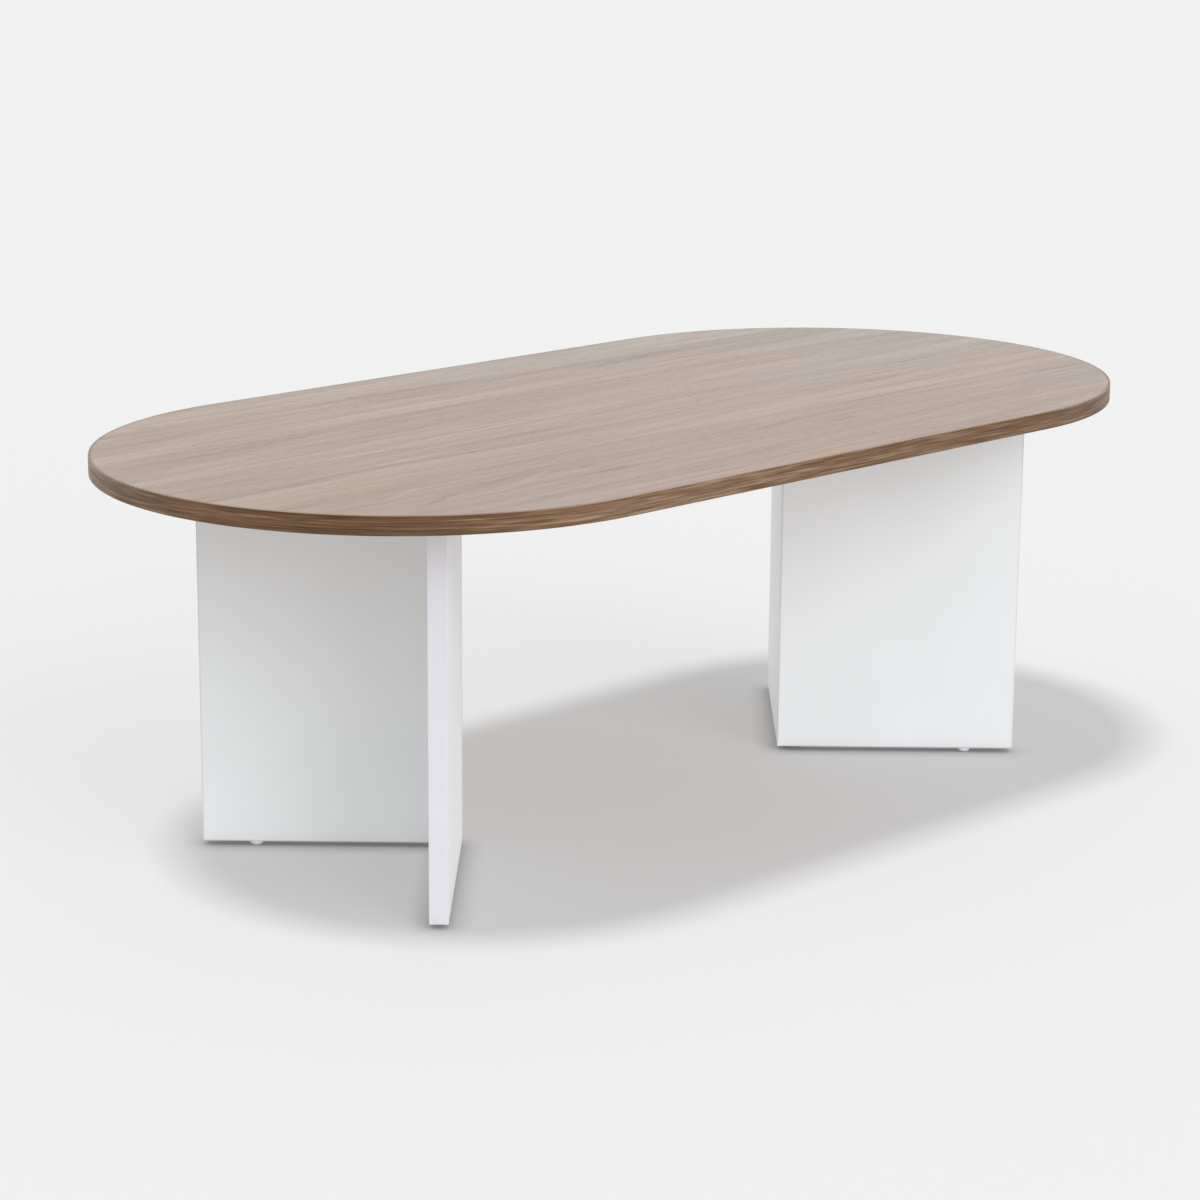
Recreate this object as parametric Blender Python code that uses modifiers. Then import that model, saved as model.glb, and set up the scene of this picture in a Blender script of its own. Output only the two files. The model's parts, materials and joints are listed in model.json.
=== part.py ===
"""Racetrack coffee table: an oval board on two arrow-head legs, built as flat-pack furniture.

Metres, +Z up. The origin is on the floor under the middle of the top, and +X runs along the top's length.
Each leg is two boards that meet at a right angle, with the outer corner pointing at the middle of the table.
A leg has its own axes, which start on the floor at that corner: x runs along its main panel, y along its
return panel, and the return panel butts against the main panel's inner face.
"""

import math

import bmesh
import bpy
from mathutils import Matrix, Vector

MM = 0.001

# Top
TOP_LENGTH = 1200 * MM
TOP_WIDTH = 600 * MM
TOP_THICKNESS = 18 * MM
TOP_BAND = 2 * MM
TOP_BAND_ROUND = 1.2 * MM
TABLE_HEIGHT = 410 * MM

# Legs
CORNER_FROM_TOP_END = 369 * MM
LEG_ARM = 256 * MM
PANEL_THICKNESS = 18 * MM
PANEL_BAND = 1 * MM
PANEL_BAND_ROUND = 0.5 * MM
LEG_DIRECTIONS = {"left_leg": math.radians(180), "right_leg": math.radians(0)}

# Where the joints sit on a panel
TOP_JOINT_FROM_CORNER = 70 * MM
TOP_JOINT_FROM_END = 50 * MM
CORNER_CAM_FROM_EDGE = 95 * MM
CORNER_DOWEL_FROM_EDGE = 50 * MM

# Cam lock and its bolt
CAM_DIAMETER = 14.8 * MM
CAM_DEPTH = 13 * MM
CAM_SETBACK = 24 * MM
CAM_HEAD_ROOM = 1.8 * MM
CAM_CROSS_LENGTH = 7 * MM
CAM_CROSS_WIDTH = 1.4 * MM
CAM_CROSS_DEPTH = 2.5 * MM
BOLT_THREAD_DIAMETER = 5 * MM
BOLT_THREAD_LENGTH = 11 * MM
BOLT_POINT = 1.5 * MM
BOLT_COLLAR_DIAMETER = 7.2 * MM
BOLT_COLLAR_THICKNESS = 1.5 * MM
BOLT_SHANK_DIAMETER = 6 * MM
BOLT_NECK_DIAMETER = 4 * MM
BOLT_HEAD_DIAMETER = 6.8 * MM
BOLT_HEAD_FLAT = 0.6

# Dowels
DOWEL_DIAMETER = 8 * MM
DOWEL_LENGTH = 30 * MM
DOWEL_IN_MATE = 10 * MM
DOWEL_CHAMFER = 1 * MM

# Glides
GLIDE_HEIGHT = 5 * MM
GLIDE_DIAMETER = 15 * MM
GLIDE_FOOT_DIAMETER = 9 * MM
GLIDE_RIM = 1.2 * MM
GLIDE_FROM_END = 52 * MM
NAIL_DIAMETER = 2 * MM
NAIL_HEAD_DIAMETER = 6 * MM
NAIL_HEAD_THICKNESS = 1 * MM
NAIL_HEAD_COVER = 1.8 * MM
NAIL_LENGTH = 16 * MM
NAIL_POINT = 3 * MM

# Clearances
GLUE_LINE = 0.1 * MM
SEAT = 0.3 * MM
FIT = 0.2 * MM
DRILL_SPARE = 1 * MM
OVERRUN = 2 * MM
WELD = 0.01 * MM

# Facets of the round shapes
ARC_STEPS = 44
BAND_ROUND_STEPS = 2
PANEL_BAND_ROUND_STEPS = 2
CAM_STEPS = 16
BOLT_STEPS = 12
DOWEL_STEPS = 12
GLIDE_STEPS = 20
GLIDE_ROUND_STEPS = 3
NAIL_STEPS = 8
SMOOTH_BELOW = math.radians(35)

# Levels that several pieces share
UNDERSIDE = TABLE_HEIGHT - TOP_THICKNESS
PANEL_TOP = UNDERSIDE - SEAT
LEG_BOTTOM = GLIDE_HEIGHT + SEAT
PANEL_BOTTOM = LEG_BOTTOM + PANEL_BAND + GLUE_LINE
BOARD_END = PANEL_BAND + GLUE_LINE

AXIS_X = Vector((1, 0, 0))
AXIS_Y = Vector((0, 1, 0))
AXIS_Z = Vector((0, 0, 1))


def clear_scene():
    """Removes whatever the startup scene holds."""
    for obj in list(bpy.data.objects):
        bpy.data.objects.remove(obj, do_unlink=True)


def new_collection(name):
    """An empty collection in the scene."""
    collection = bpy.data.collections.new(name)
    bpy.context.scene.collection.children.link(collection)
    return collection


def new_material(name, colour, roughness, metallic=0.0):
    """A plain surface of one linear colour."""
    made = bpy.data.materials.new(name)
    made.use_nodes = True
    shader = made.node_tree.nodes["Principled BSDF"]
    shader.inputs["Base Color"].default_value = (*colour, 1)
    shader.inputs["Roughness"].default_value = roughness
    shader.inputs["Metallic"].default_value = metallic
    return made


clear_scene()
PARTS = new_collection("coffee_table")
CUTTERS = new_collection("cutters")
WALNUT_FACE = new_material("walnut_melamine", (0.23, 0.145, 0.09), 0.4)
WALNUT_EDGE = new_material("walnut_abs_edge", (0.21, 0.13, 0.08), 0.45)
WHITE_FACE = new_material("white_melamine", (0.82, 0.82, 0.83), 0.45)
WHITE_EDGE = new_material("white_abs_edge", (0.82, 0.82, 0.83), 0.4)
ZINC = new_material("zinc", (0.55, 0.56, 0.58), 0.4, 1.0)
STEEL = new_material("steel", (0.6, 0.6, 0.6), 0.3, 1.0)
BEECH = new_material("beech", (0.6, 0.42, 0.24), 0.7)
WHITE_PLASTIC = new_material("white_plastic", (0.8, 0.8, 0.8), 0.5)


def keep(obj, name, finish, parent=None):
    """Names a finished piece, gives it its material and puts it in the table's collection."""
    for collection in list(obj.users_collection):
        collection.objects.unlink(obj)
    PARTS.objects.link(obj)
    obj.name = name
    obj.data.name = name
    obj.data.materials.clear()
    obj.data.materials.append(finish)
    obj.parent = parent
    return obj


def guide(obj, name, parent=None):
    """Makes an object a helper, such as a cutter, that isn't a piece of the table."""
    for collection in list(obj.users_collection):
        collection.objects.unlink(obj)
    CUTTERS.objects.link(obj)
    obj.name = name
    obj.hide_render = True
    obj.display_type = "WIRE"
    obj.parent = parent
    return obj


def box(low, high):
    """A box between two corners, with its origin in the middle."""
    low, high = Vector(low), Vector(high)
    bpy.ops.mesh.primitive_cube_add(size=1, location=(low + high) / 2)
    obj = bpy.context.object
    obj.data.transform(Matrix.Diagonal((*(high - low), 1)))
    return obj


def rod(diameter, start, direction, length, steps):
    """A cylinder that starts at a point and runs along a direction."""
    direction = Vector(direction).normalized()
    bpy.ops.mesh.primitive_cylinder_add(vertices=steps, radius=diameter / 2, depth=length)
    obj = bpy.context.object
    obj.data.transform(Matrix.Translation((0, 0, length / 2)))
    obj.matrix_world = Matrix.Translation(start) @ turn(direction, side_of(direction))
    return obj


def side_of(direction):
    """A direction square to this one: level for an upright piece, upright for a level one."""
    return AXIS_X if abs(direction.z) > 0.5 else AXIS_Z


def turn(along, side):
    """The rotation that takes +Z to one direction and +X to another, square to it."""
    along, side = Vector(along).normalized(), Vector(side).normalized()
    return Matrix((side, along.cross(side), along)).transposed().to_4x4()


def turned(profile, steps):
    """A round piece about Z, from (radius, height) points that run down its outer side."""
    mesh = bpy.data.meshes.new("profile")
    edges = [(i, i + 1) for i in range(len(profile) - 1)]
    mesh.from_pydata([(radius, 0, height) for radius, height in profile], edges, [])
    obj = bpy.data.objects.new("turned", mesh)
    PARTS.objects.link(obj)
    screw = obj.modifiers.new("turn", "SCREW")
    screw.axis = "Z"
    screw.steps = steps
    screw.render_steps = steps
    screw.use_merge_vertices = True
    screw.merge_threshold = WELD
    return obj


def finished_mesh(obj):
    """Takes an object's evaluated mesh, welds it, shades its round faces smooth and removes the object."""
    bpy.context.view_layer.update()
    graph = bpy.context.evaluated_depsgraph_get()
    mesh = bpy.data.meshes.new_from_object(obj.evaluated_get(graph))
    shape = bmesh.new()
    shape.from_mesh(mesh)
    bmesh.ops.remove_doubles(shape, verts=shape.verts, dist=WELD)
    shape.to_mesh(mesh)
    shape.free()
    mesh.shade_smooth()
    mesh.set_sharp_from_angle(angle=SMOOTH_BELOW)
    bpy.data.objects.remove(obj)
    return mesh


def made_solid(obj):
    """Replaces an object by its finished mesh, in the same place."""
    bpy.context.view_layer.update()
    place = obj.matrix_world.copy()
    solid = bpy.data.objects.new("solid", finished_mesh(obj))
    PARTS.objects.link(solid)
    solid.matrix_world = place
    return solid


def cut(piece, cutter):
    """Takes a cutter's shape out of a piece."""
    boolean = piece.modifiers.new(cutter.name, "BOOLEAN")
    boolean.operation = "DIFFERENCE"
    boolean.object = cutter


def drill(piece, name, diameter, start, direction, depth, steps, parent):
    """Drills a hole into a piece, from a point on its face."""
    direction = Vector(direction).normalized()
    mouth = Vector(start) - direction * OVERRUN
    cut(piece, guide(rod(diameter, mouth, direction, depth + OVERRUN, steps), name, parent))


def racetrack(inset):
    """Points round the top's outline, moved inwards: two half circles joined by straight sides."""
    radius = TOP_WIDTH / 2 - inset
    centre = TOP_LENGTH / 2 - TOP_WIDTH / 2
    points = []
    for side, start in ((1, -90), (-1, 90)):
        for step in range(ARC_STEPS + 1):
            angle = math.radians(start + 180 * step / ARC_STEPS)
            points.append((side * centre + radius * math.cos(angle), radius * math.sin(angle)))
    return points


def outline_curve(name, points):
    """A closed flat curve through points in the plane."""
    data = bpy.data.curves.new(name, "CURVE")
    data.dimensions = "2D"
    spline = data.splines.new("POLY")
    spline.points.add(len(points) - 1)
    for point, (x, y) in zip(spline.points, points):
        point.co = (x, y, 0, 1)
    spline.use_cyclic_u = True
    obj = bpy.data.objects.new(name, data)
    PARTS.objects.link(obj)
    return obj


def make_top_board():
    """The board inside the edge band, still without the holes for the legs' fittings."""
    curve = outline_curve("top_outline", racetrack(TOP_BAND + GLUE_LINE))
    curve.data.fill_mode = "BOTH"
    curve.data.extrude = TOP_THICKNESS / 2
    curve.location.z = UNDERSIDE + TOP_THICKNESS / 2
    return keep(made_solid(curve), "table_top", WALNUT_FACE)


def band_section():
    """The edge band's section: square where it is glued, rounded at the two edges of its outer side.

    The sweep turns the section's -X side outwards.
    """
    half_width, half_height = TOP_BAND / 2, TOP_THICKNESS / 2
    radius = min(TOP_BAND_ROUND, TOP_BAND - GLUE_LINE)
    points = [(half_width, half_height), (half_width, -half_height)]
    for side, start in ((-1, -90), (1, 0)):
        for step in range(BAND_ROUND_STEPS + 1):
            angle = math.radians(start + 90 * step / BAND_ROUND_STEPS)
            x = radius - half_width - radius * math.cos(angle)
            y = side * (half_height - radius) + radius * math.sin(angle)
            points.append((x, y))
    return points


def make_top_band():
    """The edge band: its section swept round the middle of its own thickness."""
    section = guide(outline_curve("band_section", band_section()), "band_section")
    curve = outline_curve("top_edge_band", racetrack(TOP_BAND / 2))
    curve.data.bevel_mode = "OBJECT"
    curve.data.bevel_object = section
    curve.location.z = UNDERSIDE + TOP_THICKNESS / 2
    return keep(made_solid(curve), "top_edge_band", WALNUT_EDGE)


def round_edges(band, outward):
    """Rounds the edges of a band's outer face."""
    mesh = band.data
    weights = mesh.attributes.new("bevel_weight_edge", "FLOAT", "EDGE")
    for edge in mesh.edges:
        ends = [mesh.vertices[i].co for i in edge.vertices]
        weights.data[edge.index].value = 1.0 if all(end.dot(outward) > 0 for end in ends) else 0.0
    bevel = band.modifiers.new("arris", "BEVEL")
    bevel.limit_method = "WEIGHT"
    bevel.width = PANEL_BAND_ROUND
    bevel.segments = PANEL_BAND_ROUND_STEPS


def panel_band(name, low, high, outward, leg):
    """A strip of edge band with its outer edges rounded."""
    band = keep(box(low, high), name, WHITE_EDGE, leg)
    round_edges(band, outward)
    return band


def make_main_panel(leg_name, leg):
    """The board that runs through the corner, banded at both ends and below."""
    end = LEG_ARM - BOARD_END
    panel = keep(
        box((BOARD_END, 0, PANEL_BOTTOM), (end, PANEL_THICKNESS, PANEL_TOP)),
        f"{leg_name}_main_panel", WHITE_FACE, leg,
    )
    panel_band(
        f"{leg_name}_main_corner_band",
        (0, 0, LEG_BOTTOM), (PANEL_BAND, PANEL_THICKNESS, PANEL_TOP), -AXIS_X, leg,
    )
    panel_band(
        f"{leg_name}_main_end_band",
        (LEG_ARM - PANEL_BAND, 0, LEG_BOTTOM), (LEG_ARM, PANEL_THICKNESS, PANEL_TOP), AXIS_X, leg,
    )
    bottom = panel_band(
        f"{leg_name}_main_bottom_band",
        (BOARD_END, 0, LEG_BOTTOM), (end, PANEL_THICKNESS, LEG_BOTTOM + PANEL_BAND), -AXIS_Z, leg,
    )
    return panel, bottom


def make_return_panel(leg_name, leg):
    """The board that butts against the main panel, banded at its free end and below."""
    start, end = PANEL_THICKNESS + SEAT, LEG_ARM - BOARD_END
    panel = keep(
        box((0, start, PANEL_BOTTOM), (PANEL_THICKNESS, end, PANEL_TOP)),
        f"{leg_name}_return_panel", WHITE_FACE, leg,
    )
    panel_band(
        f"{leg_name}_return_end_band",
        (0, LEG_ARM - PANEL_BAND, LEG_BOTTOM), (PANEL_THICKNESS, LEG_ARM, PANEL_TOP), AXIS_Y, leg,
    )
    bottom = panel_band(
        f"{leg_name}_return_bottom_band",
        (0, start, LEG_BOTTOM), (PANEL_THICKNESS, end, LEG_BOTTOM + PANEL_BAND), -AXIS_Z, leg,
    )
    return panel, bottom


def cam_mesh():
    """A cam lock's shape: +Z is its face, and the bolt comes in along +X at the panel's mid thickness.

    It is hollow below, slotted for the bolt's neck over the half that faces the bolt, and open at one
    side for the bolt's head to enter before the cam is turned.
    """
    bolt_level = -PANEL_THICKNESS / 2
    head_room = BOLT_HEAD_DIAMETER / 2 + FIT
    neck_room = BOLT_NECK_DIAMETER / 2 + FIT
    below = -CAM_DEPTH - OVERRUN
    reach = CAM_DIAMETER / 2 + OVERRUN
    cam = rod(CAM_DIAMETER, (0, 0, -CAM_DEPTH), AXIS_Z, CAM_DEPTH, CAM_STEPS)
    hollow_top = bolt_level + head_room
    hollow_diameter = BOLT_HEAD_DIAMETER + 2 * CAM_HEAD_ROOM
    hollow = rod(hollow_diameter, (0, 0, below), AXIS_Z, hollow_top - below, CAM_STEPS)
    neck_slot = box((0, -reach, bolt_level - neck_room), (reach, reach, bolt_level + neck_room))
    mouth = box((-head_room, -reach, below), (head_room, 0, hollow_top - FIT))
    half_length, half_width = CAM_CROSS_LENGTH / 2, CAM_CROSS_WIDTH / 2
    cross_long = box((-half_length, -half_width, -CAM_CROSS_DEPTH), (half_length, half_width, OVERRUN))
    cross_short = box((-half_width, -half_length, -CAM_CROSS_DEPTH), (half_width, half_length, OVERRUN))
    cutters = (hollow, neck_slot, mouth, cross_long, cross_short)
    for cutter in cutters:
        cut(cam, cutter)
    bpy.context.view_layer.update()
    place = cam.matrix_world.copy()
    mesh = finished_mesh(cam)
    mesh.transform(place)
    for cutter in cutters:
        bpy.data.objects.remove(cutter)
    return mesh


def bolt_profile():
    """A cam bolt's profile: height 0 is the face it screws into, and its head lies on the cam's axis."""
    thread, neck, head = BOLT_THREAD_DIAMETER / 2, BOLT_NECK_DIAMETER / 2, BOLT_HEAD_DIAMETER / 2
    collar, shank = BOLT_COLLAR_DIAMETER / 2, BOLT_SHANK_DIAMETER / 2
    neck_start = CAM_SETBACK - CAM_DIAMETER / 2 - SEAT
    head_flat = head * BOLT_HEAD_FLAT
    return [
        (0, CAM_SETBACK + head), (head_flat, CAM_SETBACK + head),
        (head, CAM_SETBACK + head_flat), (head, CAM_SETBACK - head_flat),
        (neck, CAM_SETBACK - head), (neck, neck_start),
        (shank, neck_start), (shank, SEAT + BOLT_COLLAR_THICKNESS),
        (collar, SEAT + BOLT_COLLAR_THICKNESS), (collar, SEAT),
        (thread, SEAT), (thread, BOLT_POINT - BOLT_THREAD_LENGTH),
        (thread - BOLT_POINT, -BOLT_THREAD_LENGTH), (0, -BOLT_THREAD_LENGTH),
    ]


def dowel_profile():
    """A dowel's profile: height 0 is where the two boards meet."""
    radius, top, foot = DOWEL_DIAMETER / 2, DOWEL_LENGTH - DOWEL_IN_MATE, -DOWEL_IN_MATE
    tip = radius - DOWEL_CHAMFER
    return [
        (0, top), (tip, top), (radius, top - DOWEL_CHAMFER),
        (radius, foot + DOWEL_CHAMFER), (tip, foot), (0, foot),
    ]


def glide_profile():
    """A glide's profile: a tapered button on the floor, moulded round its nail's head."""
    head, shank = NAIL_HEAD_DIAMETER / 2 + FIT, NAIL_DIAMETER / 2 + FIT
    pocket_low, pocket_high = NAIL_HEAD_COVER - FIT, NAIL_HEAD_COVER + NAIL_HEAD_THICKNESS + FIT
    rim, foot = GLIDE_DIAMETER / 2, GLIDE_FOOT_DIAMETER / 2
    profile = [
        (0, pocket_low), (head, pocket_low), (head, pocket_high), (shank, pocket_high),
        (shank, GLIDE_HEIGHT), (rim, GLIDE_HEIGHT),
    ]
    for step in range(GLIDE_ROUND_STEPS + 1):
        angle = math.radians(90 * step / GLIDE_ROUND_STEPS)
        radius = foot + (rim - foot) * math.cos(angle)
        profile.append((radius, (GLIDE_HEIGHT - GLIDE_RIM) * (1 - math.sin(angle))))
    profile.append((0, 0))
    return profile


def nail_profile():
    """A glide nail's profile, head down."""
    head, shank = NAIL_HEAD_DIAMETER / 2, NAIL_DIAMETER / 2
    head_top = NAIL_HEAD_COVER + NAIL_HEAD_THICKNESS
    tip = GLIDE_HEIGHT + NAIL_LENGTH
    return [
        (0, tip), (shank, tip - NAIL_POINT), (shank, head_top),
        (head, head_top), (head, NAIL_HEAD_COVER), (0, NAIL_HEAD_COVER),
    ]


def dressed(mesh, finish):
    """Gives a mesh its one material."""
    mesh.materials.clear()
    mesh.materials.append(finish)
    return mesh


FITTINGS = {
    "cam": dressed(cam_mesh(), ZINC),
    "bolt": dressed(finished_mesh(turned(bolt_profile(), BOLT_STEPS)), STEEL),
    "dowel": dressed(finished_mesh(turned(dowel_profile(), DOWEL_STEPS)), BEECH),
    "glide": dressed(finished_mesh(turned(glide_profile(), GLIDE_STEPS)), WHITE_PLASTIC),
    "nail": dressed(finished_mesh(turned(nail_profile(), NAIL_STEPS)), STEEL),
}


def add_fitting(kind, name, place, leg):
    """One more fitting of a kind, on a leg's own axes."""
    obj = bpy.data.objects.new(name, FITTINGS[kind])
    PARTS.objects.link(obj)
    obj.parent = leg
    obj.matrix_local = place


def cam_joint(name, panel, mate, at, into, inward, leg):
    """Bolts a panel's edge to a mate's face.

    at is on the mate's face, in the middle of the panel's thickness. The bolt runs from there into the
    panel, and the cam sits in the panel's inner face, which looks along inward.
    """
    axis = at + into * CAM_SETBACK
    face = axis + inward * PANEL_THICKNESS / 2
    bolt_place = Matrix.Translation(at) @ turn(into, inward)
    cam_place = Matrix.Translation(face) @ turn(inward, -into)
    add_fitting("bolt", name.replace("joint", "bolt"), bolt_place, leg)
    add_fitting("cam", name.replace("joint", "cam"), cam_place, leg)
    bolt_bore = max(BOLT_COLLAR_DIAMETER, BOLT_SHANK_DIAMETER, BOLT_HEAD_DIAMETER) + 2 * FIT
    cam_bore = CAM_DIAMETER + 2 * FIT
    thread_bore = BOLT_THREAD_DIAMETER + 2 * FIT
    drill(panel, f"{name}_bolt_bore", bolt_bore, at, into, CAM_SETBACK, BOLT_STEPS, leg)
    drill(panel, f"{name}_cam_bore", cam_bore, face, -inward, CAM_DEPTH + FIT, CAM_STEPS, leg)
    drill(mate, f"{name}_thread_bore", thread_bore, at, -into, BOLT_THREAD_LENGTH + FIT, BOLT_STEPS, leg)


def dowel_joint(name, panel, mate, at, into, leg):
    """Locates a panel's edge on a mate's face with a dowel."""
    add_fitting("dowel", name, Matrix.Translation(at) @ turn(into, side_of(into)), leg)
    bore = DOWEL_DIAMETER + 2 * FIT
    in_panel = DOWEL_LENGTH - DOWEL_IN_MATE + DRILL_SPARE
    drill(panel, f"{name}_panel_bore", bore, at, into, in_panel, DOWEL_STEPS, leg)
    drill(mate, f"{name}_mate_bore", bore, at, -into, DOWEL_IN_MATE + DRILL_SPARE, DOWEL_STEPS, leg)


def join_to_top(name, panel, top, along, across, leg):
    """Fixes a panel's top edge under the top: a cam joint near each end and a dowel between them.

    along runs from the leg's corner to the panel's free end, and across from its outer to its inner face.
    """
    middle = across * PANEL_THICKNESS / 2 + AXIS_Z * UNDERSIDE
    near, far = TOP_JOINT_FROM_CORNER, LEG_ARM - TOP_JOINT_FROM_END
    for number, distance in enumerate((near, far), start=1):
        at = along * distance + middle
        cam_joint(f"{name}_top_joint_{number}", panel, top, at, -AXIS_Z, across, leg)
    dowel_joint(f"{name}_top_dowel", panel, top, along * (near + far) / 2 + middle, -AXIS_Z, leg)


def join_corner(leg_name, main_panel, return_panel, leg):
    """Fixes the return panel's edge to the main panel's inner face with two cam joints and two dowels."""
    middle = AXIS_X * PANEL_THICKNESS / 2 + AXIS_Y * PANEL_THICKNESS
    ends = ((PANEL_BOTTOM, 1), (PANEL_TOP, -1))
    for number, (edge, step) in enumerate(ends, start=1):
        cam_at = middle + AXIS_Z * (edge + step * CORNER_CAM_FROM_EDGE)
        dowel_at = middle + AXIS_Z * (edge + step * CORNER_DOWEL_FROM_EDGE)
        cam_name, dowel_name = f"{leg_name}_corner_joint_{number}", f"{leg_name}_corner_dowel_{number}"
        cam_joint(cam_name, return_panel, main_panel, cam_at, AXIS_Y, AXIS_X, leg)
        dowel_joint(dowel_name, return_panel, main_panel, dowel_at, AXIS_Y, leg)


def add_glide(name, panel, bottom_band, along, across, leg):
    """Nails a glide under a panel, near its free end."""
    foot = along * (LEG_ARM - GLIDE_FROM_END) + across * PANEL_THICKNESS / 2
    add_fitting("glide", f"{name}_glide", Matrix.Translation(foot), leg)
    add_fitting("nail", f"{name}_glide_nail", Matrix.Translation(foot), leg)
    bore = NAIL_DIAMETER + 2 * FIT
    mouth = foot + AXIS_Z * LEG_BOTTOM
    depth = GLIDE_HEIGHT + NAIL_LENGTH + DRILL_SPARE - LEG_BOTTOM
    for piece in (panel, bottom_band):
        drill(piece, f"{piece.name}_nail_bore", bore, mouth, AXIS_Z, depth, NAIL_STEPS, leg)


def make_leg(leg_name, direction, top):
    """One arrow-head leg, with its panels turned alike to both sides of the top's length."""
    leg = bpy.data.objects.new(leg_name, None)
    PARTS.objects.link(leg)
    corner_from_centre = TOP_LENGTH / 2 - CORNER_FROM_TOP_END
    leg.location = corner_from_centre * Vector((math.cos(direction), math.sin(direction), 0))
    leg.rotation_euler.z = direction - math.radians(45)
    main_panel, main_bottom = make_main_panel(leg_name, leg)
    return_panel, return_bottom = make_return_panel(leg_name, leg)
    join_corner(leg_name, main_panel, return_panel, leg)
    join_to_top(f"{leg_name}_main", main_panel, top, AXIS_X, AXIS_Y, leg)
    join_to_top(f"{leg_name}_return", return_panel, top, AXIS_Y, AXIS_X, leg)
    add_glide(f"{leg_name}_main", main_panel, main_bottom, AXIS_X, AXIS_Y, leg)
    add_glide(f"{leg_name}_return", return_panel, return_bottom, AXIS_Y, AXIS_X, leg)


def main():
    """Builds the whole table."""
    top = make_top_board()
    make_top_band()
    for leg_name, direction in LEG_DIRECTIONS.items():
        make_leg(leg_name, direction, top)


main()
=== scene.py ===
"""Looks of an oval coffee table: a walnut-look top on two arrow-head legs of white board.

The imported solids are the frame. The top board, the leg boards and their white bands keep their solids and get
their finishes here. The top's edge band and the joint fittings are made again, rounder and in more detail.
Sizes are millimetres until they reach a mesh or a node, which take metres.
"""

import json
import logging
import math
from dataclasses import dataclass
from enum import Enum
from typing import Any

import bpy
from mathutils import Matrix, Vector

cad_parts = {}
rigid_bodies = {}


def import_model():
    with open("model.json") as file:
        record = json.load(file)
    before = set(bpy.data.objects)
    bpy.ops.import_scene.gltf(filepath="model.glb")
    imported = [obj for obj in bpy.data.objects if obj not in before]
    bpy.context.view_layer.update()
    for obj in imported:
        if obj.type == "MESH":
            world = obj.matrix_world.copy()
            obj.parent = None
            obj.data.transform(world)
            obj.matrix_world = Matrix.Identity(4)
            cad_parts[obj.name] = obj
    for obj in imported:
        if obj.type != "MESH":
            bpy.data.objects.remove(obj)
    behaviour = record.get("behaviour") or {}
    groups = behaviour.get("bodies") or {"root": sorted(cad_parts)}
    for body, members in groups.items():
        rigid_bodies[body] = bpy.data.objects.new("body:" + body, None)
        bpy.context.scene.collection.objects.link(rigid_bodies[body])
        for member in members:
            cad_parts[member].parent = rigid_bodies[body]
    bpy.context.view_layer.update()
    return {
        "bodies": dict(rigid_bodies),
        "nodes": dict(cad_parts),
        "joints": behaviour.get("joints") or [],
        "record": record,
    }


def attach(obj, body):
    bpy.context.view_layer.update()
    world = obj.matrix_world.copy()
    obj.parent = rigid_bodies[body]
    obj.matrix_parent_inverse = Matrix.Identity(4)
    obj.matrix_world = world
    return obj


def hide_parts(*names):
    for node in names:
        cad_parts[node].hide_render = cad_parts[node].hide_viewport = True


# Short names for the types in the hints.
Tree = bpy.types.NodeTree
Node = bpy.types.Node
Source = bpy.types.Node | bpy.types.NodeSocket
Piece = bpy.types.Object
Material = bpy.types.Material
Tones = tuple[tuple[float, str], ...]
Grades = tuple[tuple[float, float], ...]
Outline = list[tuple[float, float]]

LOG = logging.getLogger("coffee_table")
MM = 0.001
WELD = 0.01 * MM
BODY = "root"
UP = Vector((0, 0, 1))
EAST = Vector((1, 0, 0))
# Times this, a vector loses its height.
LEVEL = Vector((1, 1, 0))
INPUT_KINDS = {
    int: "NodeSocketInt",
    float: "NodeSocketFloat",
    Vector: "NodeSocketVector",
    bpy.types.Object: "NodeSocketObject",
    bpy.types.Material: "NodeSocketMaterial",
}


class Slot(Enum):
    """The record's material slots."""

    WALNUT_FACE = "walnut_melamine"
    WALNUT_EDGE = "walnut_edge"
    WHITE_FACE = "white_melamine"
    WHITE_EDGE = "white_edge"
    CAM_ZINC = "cam_zinc"
    BOLT_STEEL = "bolt_steel"
    DOWEL_BEECH = "dowel_beech"
    GLIDE_PLASTIC = "glide_plastic"


class Board(Enum):
    """The two boards of a leg."""

    MAIN = "main"
    RETURN = "return"


def linear(code: str) -> tuple[float, float, float, float]:
    """Turns an sRGB hex colour into the linear colour that a shader takes.

    Args:
        code: six hex digits after a hash sign.

    Returns:
        Red, green and blue from 0 to 1, and an alpha of 1.
    """
    shares = [int(code[i : i + 2], 16) / 255 for i in (1, 3, 5)]
    red, green, blue = (s / 12.92 if s <= 0.04045 else ((s + 0.055) / 1.055) ** 2.4 for s in shares)
    return red, green, blue, 1.0


def add_node(
    tree: Tree, kind: str, *values: Any, named: dict[str, Any] | None = None, **settings: Any
) -> Node:
    """Adds one node to a tree, with its settings, its values and its links.

    A value is a constant, an output to link from, or a node, which stands for its first live output.

    Args:
        tree: the tree that takes the node.
        kind: Blender's name for the type of node.
        values: what goes to the node's live inputs, in their order.
        named: what goes to inputs by name. A list links several outputs to one input.
        settings: the node's own options by name.

    Returns:
        The new node.
    """
    node = tree.nodes.new(kind)
    for name, setting in settings.items():
        setattr(node, name, setting)
    live = [socket for socket in node.inputs if socket.enabled]
    pairs = list(zip(live, values))
    pairs += [(node.inputs[name], value) for name, value in (named or {}).items()]
    for socket, value in pairs:
        for source in value if isinstance(value, list) else [value]:
            if isinstance(source, bpy.types.Node):
                source = next(output for output in source.outputs if output.enabled)
            if isinstance(source, bpy.types.NodeSocket):
                tree.links.new(source, socket)
            else:
                socket.default_value = source
    return node


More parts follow.
